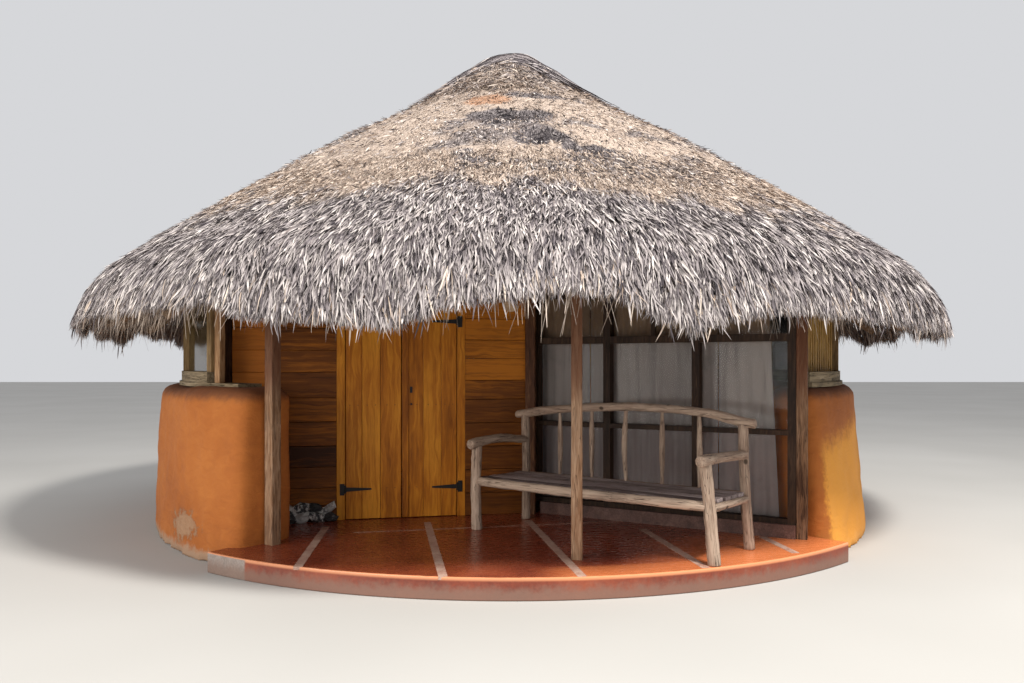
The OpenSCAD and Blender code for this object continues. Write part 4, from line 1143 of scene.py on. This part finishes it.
def on_roof(s, angle, lift):
    """Points of the roof: s runs down from the point of the cone, and bends over the eave."""
    bend = np.clip((s - BEND_S) / BEND_RADIUS, 0, math.pi / 2 - PITCH)
    over = np.maximum(s - LEVEL_S, 0)
    steep = PITCH + bend
    straight = np.minimum(s, BEND_S)
    r = straight * math.cos(PITCH) + BEND_RADIUS * (np.sin(steep) - math.sin(PITCH))
    z = CONE_TOP - straight * math.sin(PITCH) - BEND_RADIUS * (math.cos(PITCH) - np.cos(steep)) - over
    r = r + lift * np.sin(steep)
    z = z + lift * np.cos(steep)
    x, y = r * np.sin(angle), -r * np.cos(angle)
    from_point = np.hypot(x - CROWN_X, y)
    return np.stack([x, y, z + np.interp(from_point, *zip(*CROWN))], axis=-1)


def within_a_turn(angle):
    """The angle in radians from -pi to pi."""
    return (angle + math.pi) % FULL_TURN - math.pi


def degrees_round(angle):
    return np.degrees(within_a_turn(angle))


def fringe_s(angle):
    """Where along the roof's section the fringe ends at a plan angle."""
    turned = degrees_round(angle)
    tip = np.interp(turned, *zip(*FRINGE))
    # The sides and the back, which the photo doesn't show, hang in gentle waves
    waves = 1.75 + 0.05 * np.sin(turned * 0.31) + 0.035 * np.sin(turned * 0.73 + 1)
    tip = np.where(np.abs(turned) > 75, waves, tip)
    level_z = CONE_TOP - BEND_S * math.sin(PITCH) - BEND_RADIUS * math.cos(PITCH)
    return LEVEL_S + level_z - tip


def field(s, angle, size, seed):
    """Smooth noise over the roof, from about -1 to 1."""
    r = s * math.cos(PITCH)
    x, y = r * np.sin(angle) / size, -r * np.cos(angle) / size
    values = [noise.noise(Vector((a, b, seed))) for a, b in zip(x.flat, y.flat)]
    return np.array(values).reshape(x.shape) * 1.6


def spot(s, angle, radius, turn, half_s, half_w):
    """1 inside an oval spot on the roof, with a soft edge."""
    r = s * math.cos(PITCH)
    turned = within_a_turn(angle - math.radians(turn))
    return np.exp(-(((r - radius) / half_s) ** 2 + (turned * radius / half_w) ** 2) ** 2)


def roof_state(s, angle):
    """How hollow, how rough and how silver the thatch is, each from 0 to 1."""
    r = s * math.cos(PITCH)
    front = np.exp(-(degrees_round(angle) / 42) ** 4)
    ragged = field(s, angle, 0.22, 4.0) * 0.16 + field(s, angle, 0.7, 6.0) * 0.22
    silver_from = np.interp(degrees_round(angle), *zip(*SILVER_R))
    silver = np.clip((r + ragged - silver_from) / 0.30 + 0.5, 0, 1)
    hollow = np.zeros(np.shape(s))
    wander = field(s, angle, 0.2, 2.0) * 0.08
    ragged_s = s + field(s, angle, 0.13, 22.0) * 0.05
    for oval in HOLLOWS:
        hollow = np.maximum(hollow, spot(ragged_s, angle + wander, *oval))
    rough = np.clip((field(s, angle, 0.42, 8.0) - 0.25 - 0.5 * front) * 3, 0, 1)
    rough *= np.clip((r - 0.9) * 2, 0, 1)
    for oval in ROUGH_SPOTS:
        rough = np.maximum(rough, 0.9 * spot(s + wander, angle + wander, *oval))
    crown = np.clip((0.95 - r) / 0.25, 0, 1)
    return hollow, np.maximum(np.maximum(rough, hollow), crown * 0.6), np.maximum(silver, crown * 0.5)


def roof_shadow(s, angle):
    """1 under the upper edge of each hollow."""
    shade = np.zeros(np.shape(s))
    ragged_s = s + field(s, angle, 0.1, 23.0) * 0.04
    for radius, turn, half_s, half_w in HOLLOWS:
        under_edge = (radius - half_s * 0.45, turn, half_s * 0.72, half_w * 0.95)
        shade = np.maximum(shade, spot(ragged_s, angle, *under_edge))
    return shade


def dirt_and_shade(r):
    """1 in the ring of painted shade round the foot of the cap."""
    return np.exp(-((r - CAP_SHADE_R) / CAP_SHADE_W) ** 2)


def leaf_blank(segments, widths):
    """One flat leaf, 1 long and 1 wide, with its width at each cut. Returns its points and faces."""
    bpy.ops.object.select_all(action="DESELECT")
    bpy.ops.mesh.primitive_plane_add(size=1, location=(0.5, 0, 0))
    piece = settled(bpy.context.object)
    on_edges(piece, lambda p, q: abs(q.x - p.x) > 0.9, bpy.ops.mesh.subdivide, number_cuts=segments - 1)
    points = np.array([v.co[:] for v in piece.data.vertices])
    points[:, 1] *= np.interp(points[:, 0], np.linspace(0, 1, segments + 1), widths)
    faces = np.array([f.vertices[:] for f in piece.data.polygons])
    bpy.data.objects.remove(piece)
    return points, faces


def meshed(points, faces, share, silver, tone):
    """Joins copies of a leaf into one mesh. points is copies by corners by 3. The last three fill the
    leaf attribute: the share along the leaf, how silver it is, and its tone."""
    copies, corners = points.shape[:2]
    every = (faces[None] + (np.arange(copies) * corners)[:, None, None]).reshape(-1, faces.shape[1])
    mesh = bpy.data.meshes.new("leaves")
    mesh.from_pydata(points.reshape(-1, 3), [], every)
    leaf = [np.broadcast_to(value, (copies, corners)) for value in (share, silver, tone)]
    keep_vectors(mesh, "leaf", np.stack(leaf, axis=-1))
    piece = bpy.data.objects.new("leaves", mesh)
    bpy.context.scene.collection.objects.link(piece)
    return piece


def laid_leaves(blank, *values):
    """Copies of one leaf laid down the roof, each with its own values: lean turns them aside, roll
    about their length."""
    s, angle, length, width, lift, lean, roll, curl, silver, tone = (value[:, None] for value in values)
    points, faces = blank
    share = points[None, :, 0]
    across = points[None, :, 1] * width
    run = share * length
    side = across * np.cos(roll) + run * np.sin(lean)
    side = side + share ** 2 * (length * rng.normal(0, 0.10, s.shape))
    up = lift + across * np.sin(roll) + share * (1 - share) * (length * 0.10)
    up = up + share ** 2 * curl
    along = s + run * np.cos(lean)
    r_here = np.maximum(np.minimum(along, BEND_S) * math.cos(PITCH), 0.25)
    places = on_roof(along, angle + side / r_here, up)
    return meshed(places, faces, share, silver, tone)


def spread(each, r0, r1):
    """Roots spread evenly over a ring of the roof."""
    r = np.sqrt(each.between(r0 ** 2, r1 ** 2))
    return r / math.cos(PITCH), each.between(-math.pi, math.pi)


def make_thatch_bed(bed):
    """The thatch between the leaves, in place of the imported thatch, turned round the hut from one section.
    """
    under, foot_z, lip = 0.3, 1.98, 0.09
    along = np.linspace(0.03, LEVEL_S, 112)
    outer = on_roof(along, 0.0, np.interp(along, (0, BEND_S - 0.4, LEVEL_S), (-0.010, -0.014, -0.060)))
    outer = outer[outer[:, 2] > foot_z + 0.01]
    edge_r = -outer[-1][1]
    section = [(-y, z) for _, y, z in outer] + [(edge_r, foot_z), (edge_r - lip, foot_z)]
    section += [(r, CONE_TOP - r * math.tan(PITCH) - under + rise)
                for r, rise in ((3.95, 0.05), (3.7, 0), (3.2, 0), (2.7, 0), (2.2, 0), (1.7, 0), (1.2, 0),
                                (0.7, 0), (0.2, 0), (0.03, 0))]
    bpy.ops.mesh.primitive_circle_add(vertices=len(section), radius=1, fill_type="NOTHING")
    piece = settled(bpy.context.object)
    for corner, (r, z) in zip(piece.data.vertices, section):
        corner.co = (0, -r, z)
    spun(piece, 264, FULL_TURN, weld=0.001)
    mesh = piece.data
    places = corners_of(mesh)
    r, angle = np.hypot(places[:, 0], places[:, 1]), np.arctan2(places[:, 0], -places[:, 1])
    below = (places[:, 2] < CONE_TOP - r * math.tan(PITCH) - under / 2) & (r < BEND_R)
    s = r / math.cos(PITCH)
    hollow, rough, silver = roof_state(s, angle)
    shadow = roof_shadow(s, angle)
    lumps = field(s, angle, 0.2, 12.0) * 0.012 + field(s, angle, 0.07, 13.0) * 0.007
    places[:, 2] -= np.where(below, 0, hollow * 0.06 + shadow * 0.035 + lumps)
    mesh.vertices.foreach_set("co", places.ravel())
    orange = spot(s, angle, *ORANGE_SPOT)
    # The silver value also carries painted shade in the hollows and painted shadow under their upper edges,
    # which darken the bed
    weathered = np.where(orange > 0.05, -orange, np.maximum(silver, hollow * 0.6 + shadow))
    # The rough value also carries the painted shadow under the hollows' upper edges, and painted shade round
    # the foot of the cap
    shaded = rough + shadow + 0.45 * dirt_and_shade(r)
    cover = np.where(below, 0, weathered), np.where(below, 0, shaded), below * 1.0
    keep_vectors(mesh, "cover", np.stack(cover, axis=-1))
    smoothed(piece, 60)
    dressed(piece, "thatch_bed", bed, replaces=("thatch_middle", "thatch_upper"))


def make_eave_leaves(material):
    """Weathered leaves over the lower part of the roof, in four quarters, with the fringe."""
    short_blank = leaf_blank(2, (0.8, 1.0, 0.12))
    long_blank = leaf_blank(3, (0.8, 1.0, 0.8, 0.08))
    top_s = EAVE_IN_R / math.cos(PITCH)
    for name, middle, rooted, hanging in (("front", 0, 37000, 6400), ("right", 90, 30000, 4800),
                                          ("back", 180, 25000, 4200), ("left", 270, 30000, 4800)):
        quarter = math.radians(middle - 45), math.radians(middle + 45)
        each = Draws(rooted)
        angle = each.between(*quarter)
        s = top_s + (fringe_s(angle) - 0.07 - top_s) * each.between(0, 1) ** 0.9
        _, _, silver = roof_state(s, angle)
        length = each.between(0.06, 0.15) * (0.45 + 0.55 * silver)
        length = np.minimum(length, np.maximum(fringe_s(angle) - np.abs(each.about(0, 0.03)) - s, 0.03))
        kinds = [(short_blank, s, angle, length, silver, 0)]
        # The lowest leaves hang from the eave and end at the fringe
        each = Draws(hanging)
        angle = each.between(*quarter)
        length = each.between(0.12, 0.26)
        ragged = np.abs(each.about(0, 0.035)) + field(np.full(hanging, 4.0), angle, 0.09, 21.0) * 0.035
        ragged -= (each.between(0, 1) > 0.965) * each.between(0.04, 0.12)
        kinds.append((long_blank, fringe_s(angle) - length - ragged, angle, length, np.ones(hanging), 0.04))
        pieces = []
        for blank, s, angle, length, silver, sunk in kinds:
            each = Draws(len(s))
            clump = field(s, angle, 0.11, 3.0)
            lean = field(s, angle, 0.5, 5.0) * 0.22 + clump * 0.24 + each.about(0, 0.17)
            roll = each.about(0, 0.6) + clump * 0.3
            width = each.between(0.006, 0.0125) * (0.65 + 0.35 * silver)
            lift = each.between(-0.014, 0.012) + clump * 0.014 - each.between(0, 1) * sunk
            curl = each.about(0.004, 0.012)
            # Lighter on the clumps and darker between them: painted shade
            tone = each.about(0.49, 0.24) + field(s, angle, 0.09, 14.0) * 0.16 + clump * 0.10
            # Painted light: the left side of the roof lighter and the right darker
            tone = tone - 0.05 * np.sin(angle)
            straw = each.between(0, 1) < sunk * 5
            silver = np.where(straw, 0.05, np.clip(silver * 1.1 + each.about(0, 0.2), 0, 1))
            tone = np.clip(np.where(straw, tone + 0.1, tone), 0.02, 1)
            pieces.append(laid_leaves(blank, s, angle, length, width, lift, lean, roll, curl, silver, tone))
        dressed(joined(pieces), f"eave_leaves_{name}", material, replaces=[f"thatch_eave_{name}"])


def make_upper_leaves(material):
    """Worn leaf ends over the middle and the top of the roof: flat felt with rough spots."""
    blank = leaf_blank(2, (0.85, 1.0, 0.3))
    for name, r0, r1, count in (("middle", MIDDLE_IN_R, 3.45, 46000), ("upper", 0.5, MIDDLE_IN_R, 12000)):
        each = Draws(count)
        s, angle = spread(each, r0, r1)
        hollow, rough, silver = roof_state(s, angle)
        shadow = roof_shadow(s, angle)
        # Some leaf ends stand up out of the felt, most of them in rough and silver places
        stands = each.between(0, 1) < np.maximum(rough, silver * 0.8) * 0.72 + 0.24
        length = np.where(stands, each.between(0.03, 0.085), each.between(0.03, 0.08))
        width = np.where(stands, each.between(0.005, 0.012), each.between(0.004, 0.009))
        lift = np.where(stands, each.between(-0.006, 0.014), each.between(-0.010, -0.002)) - hollow * 0.03
        lean = field(s, angle, 0.3, 3.0) * 0.6 + each.about(0, 0.5)
        roll = np.where(stands, each.about(0, 0.6), each.about(0, 0.25))
        curl = np.where(stands, each.about(0.008, 0.012), each.about(0.002, 0.003))
        tone = np.where(stands, each.about(0.50, 0.30), each.about(0.58, 0.18))
        # A few nearly black leaf ends: painted shade in the gaps between the worn leaf ends
        tone = np.where(each.between(0, 1) < 0.07, each.between(0, 0.15), tone)
        # Painted shadow under the upper edges of the hollows, and painted light: the left side of the roof
        # lighter and the right darker
        tone = tone + field(s, angle, 0.5, 17.0) * 0.07 - shadow * 1.6 - 0.05 * np.sin(angle)
        # Painted shade in the hollows, with pale leaf ends among it
        tone = tone + hollow * (1 - shadow) * each.about(-0.07, 0.26)
        # Painted shade round the foot of the cap
        tone = np.clip(tone - 0.16 * dirt_and_shade(s * math.cos(PITCH)), -0.4, 1)
        shown = np.where(stands, np.clip(each.about(0.55, 0.32) + rough * 0.2, 0, 1),
                         np.clip(silver + each.about(0.05, 0.12), 0, 1))
        orange = spot(s + field(s, angle, 0.15, 25.0) * 0.06, angle + field(s, angle, 0.15, 26.0) * 0.05,
                      *ORANGE_SPOT) * each.between(0.1, 1.0)
        shown = np.where(orange > 0.22, -orange * 0.9, shown)
        # Straw tones show towards the sides of the roof
        aside = np.clip((np.abs(degrees_round(angle)) - 48) / 14, 0, 1) * (each.between(0, 1) > 0.5)
        shown = np.where(stands, shown, shown - aside * 0.4)
        piece = laid_leaves(blank, s, angle, length, width, lift, lean, roll, curl, shown, tone)
        dressed(piece, f"{name}_leaves", material)


def make_cap(material):
    """Long leaves combed over the point of the roof, with a curly tuft of leaf ends below them."""
    points, faces = leaf_blank(10, (0.1, 0.6, 0.9, 1, 1, 1, 1, 1, 0.9, 0.6, 0.1))
    each = Draws(2000, 1)
    share = points[None, :, 0] - 0.5
    length = each.between(0.35, 0.95)
    aim = each.about(0.0, 0.15)
    x_mid, y_mid = each.about(0.06, 0.29), each.between(-0.56, 0.30)
    x_mid = x_mid * (1 - 0.4 * np.clip(-y_mid, 0, 1))
    run = share * length
    across = points[None, :, 1] * each.between(0.011, 0.021)
    # Their ends bend down towards the front or the back
    bent = np.where(y_mid < 0.06, -0.65, 0.65) + each.about(0, 0.2)
    aside = across + bent * share ** 2 * length
    x = x_mid + run * np.cos(aim) - aside * np.sin(aim)
    y = y_mid + run * np.sin(aim) + aside * np.cos(aim)
    thick = each.between(0.014, 0.046) + each.between(0, 0.03) * share ** 2
    places = on_roof(np.hypot(x, y) / math.cos(PITCH), np.arctan2(x, -y), 0)
    places[..., 0], places[..., 1] = x, y
    places[..., 2] += thick + across * each.about(0, 0.35)
    tone = each.about(0.28, 0.17) - np.clip(x_mid - 0.2, 0, 0.4) * 0.3
    tone = np.clip(np.where(each.between(0, 1) < 0.13, tone + 0.35, tone), 0.0, 1)
    strands = meshed(places, faces, 0.8, 0.92, tone)
    dressed(strands, "cap_leaves", material, replaces=["thatch_cap"])

    count, in_tuft = 4600, 2300
    each = Draws(count)
    s, angle = spread(each, 0.45, 1.0)
    # A curly pale tuft lies in front, under the long leaves
    tuft = np.arange(count) < in_tuft
    s = np.where(tuft, each.between(0.66, 1.35), s)
    angle = np.where(tuft, each.about(math.radians(-9), 0.27), angle)
    tone = np.clip(each.about(0.36, 0.24) + tuft * 0.14 - np.clip(np.sin(angle), 0, 1) * 0.1, 0.0, 1)
    silver = np.clip(each.about(0.7, 0.25) - tuft * 0.30, 0, 1)
    lift = each.between(-0.015, 0.010) + tuft * each.between(0.005, 0.04)
    blank = leaf_blank(3, (0.8, 1.0, 0.7, 0.1))
    length, width = each.between(0.05, 0.14), each.between(0.006, 0.012)
    lean, roll, curl = each.about(0, 0.9), each.about(0, 0.7), each.about(0.004, 0.016)
    piece = laid_leaves(blank, s, angle, length, width, lift, lean, roll, curl, silver, tone)
    dressed(piece, "cap_tuft", material)


def make_eave_straws(material):
    """Loose tan straws that hang out of the eave's underside."""
    points, faces = leaf_blank(4, (1.0, 1.0, 0.9, 0.7, 0.3))
    each = Draws(3600, 1)
    at_left = Draws(1100, 1)
    lowest_z = 1.64
    angle = each.between(-math.pi, math.pi)
    # More of them hang under the open left end of the eave
    angle[:at_left.shape[0]] = np.radians(at_left.between(-75, -36))
    root_r = each.between(3.55, 4.08)
    thickness = np.interp(root_r, (3.55, 3.9, 4.08), (0.29, 0.25, 0.14))
    underside = CONE_TOP - root_r * math.tan(PITCH) - thickness
    length = each.between(0.16, 0.38)
    out, sideways = each.about(0.45, 0.35), each.about(0, 0.5)
    share = points[None, :, 0]
    across = points[None, :, 1] * each.between(0.004, 0.008)
    run = share * length
    drop = run * np.cos(out) + share ** 2 * (length * 0.12)
    reach = run * np.sin(out) * np.cos(sideways)
    r = np.minimum(root_r + reach, EAVE_R)
    turn = angle + (run * np.sin(sideways) * 0.6 + across) / root_r
    z = np.maximum(underside - drop, lowest_z)
    tone = np.clip(each.about(0.62, 0.2), 0.05, 1)
    places = np.stack([r * np.sin(turn), -r * np.cos(turn), z], axis=-1)
    dressed(meshed(places, faces, 0.7, 0.0, tone), "eave_straws", material)


def make_thatch():
    leaves = palm_leaf()
    make_thatch_bed(thatch_bed())
    make_eave_leaves(leaves)
    make_upper_leaves(leaves)
    make_cap(leaves)
    make_eave_straws(leaves)


# Studio

def make_studio():
    """Camera, floor, sky and lamps."""
    scene = bpy.context.scene
    scene.view_settings.view_transform = "Standard"
    eye, focal_px, width_px = Vector((0, -8.92, 1.51)), 821, 1024
    principal_px, horizon_px, centre_px = 511, 364, (512, 341.5)
    camera = bpy.data.cameras.new("camera")
    camera.sensor_width = 36
    camera.lens = focal_px / width_px * camera.sensor_width
    camera.shift_x = (centre_px[0] - principal_px) / width_px
    camera.shift_y = (horizon_px - centre_px[1]) / width_px
    holder = bpy.data.objects.new("camera", camera)
    holder.location = eye
    holder.rotation_euler = (math.pi / 2, 0, 0)
    scene.collection.objects.link(holder)
    scene.camera = holder

    bpy.ops.mesh.primitive_plane_add(size=120, location=(0, 0, -0.001))
    floor = bpy.context.object
    floor.name = "studio_floor"
    finish = Finish("studio_floor")
    pale = finish.noise(finish.place(), 3.0, detail=2)
    colour = finish.ramp(pale, [(0.3, (0.42, 0.41, 0.39)), (0.7, (0.46, 0.45, 0.43))])
    floor.data.materials.append(finish.surface(colour, 0.9))

    world = bpy.data.worlds.new("studio")
    world.use_nodes = True
    sky = world.node_tree.nodes["Background"].inputs
    sky["Color"].default_value = (0.96, 0.97, 1.0, 1)
    sky["Strength"].default_value = 0.70
    scene.world = world

    aim_at = Vector((0, -1.0, 1.5))
    for name, at, size, power, colour in (
        ("key", Vector((4.3, -8.5, 12.5)), 2.2, 3000, (1.0, 0.965, 0.91)),
        ("fill", Vector((-6.5, -9.5, 3.0)), 6.0, 440, (1.0, 0.96, 0.90)),
    ):
        lamp = bpy.data.lights.new(name, "AREA")
        lamp.size = size
        lamp.energy = power
        lamp.color = colour
        holder = bpy.data.objects.new(name, lamp)
        holder.location = at
        holder.rotation_euler = (aim_at - at).to_track_quat("-Z", "Y").to_euler()
        scene.collection.objects.link(holder)


bpy.ops.object.select_all(action="DESELECT")
make_studio()
painted(kerb_cement(), "window_kerb")
make_porch_floor(red_cement())
make_earth_wall(earth_plaster())
make_plank_walls()
make_plinth()
make_door()
make_ironwork()
make_posts()
make_bench()
make_windows()
paint_timber()
make_thatch()
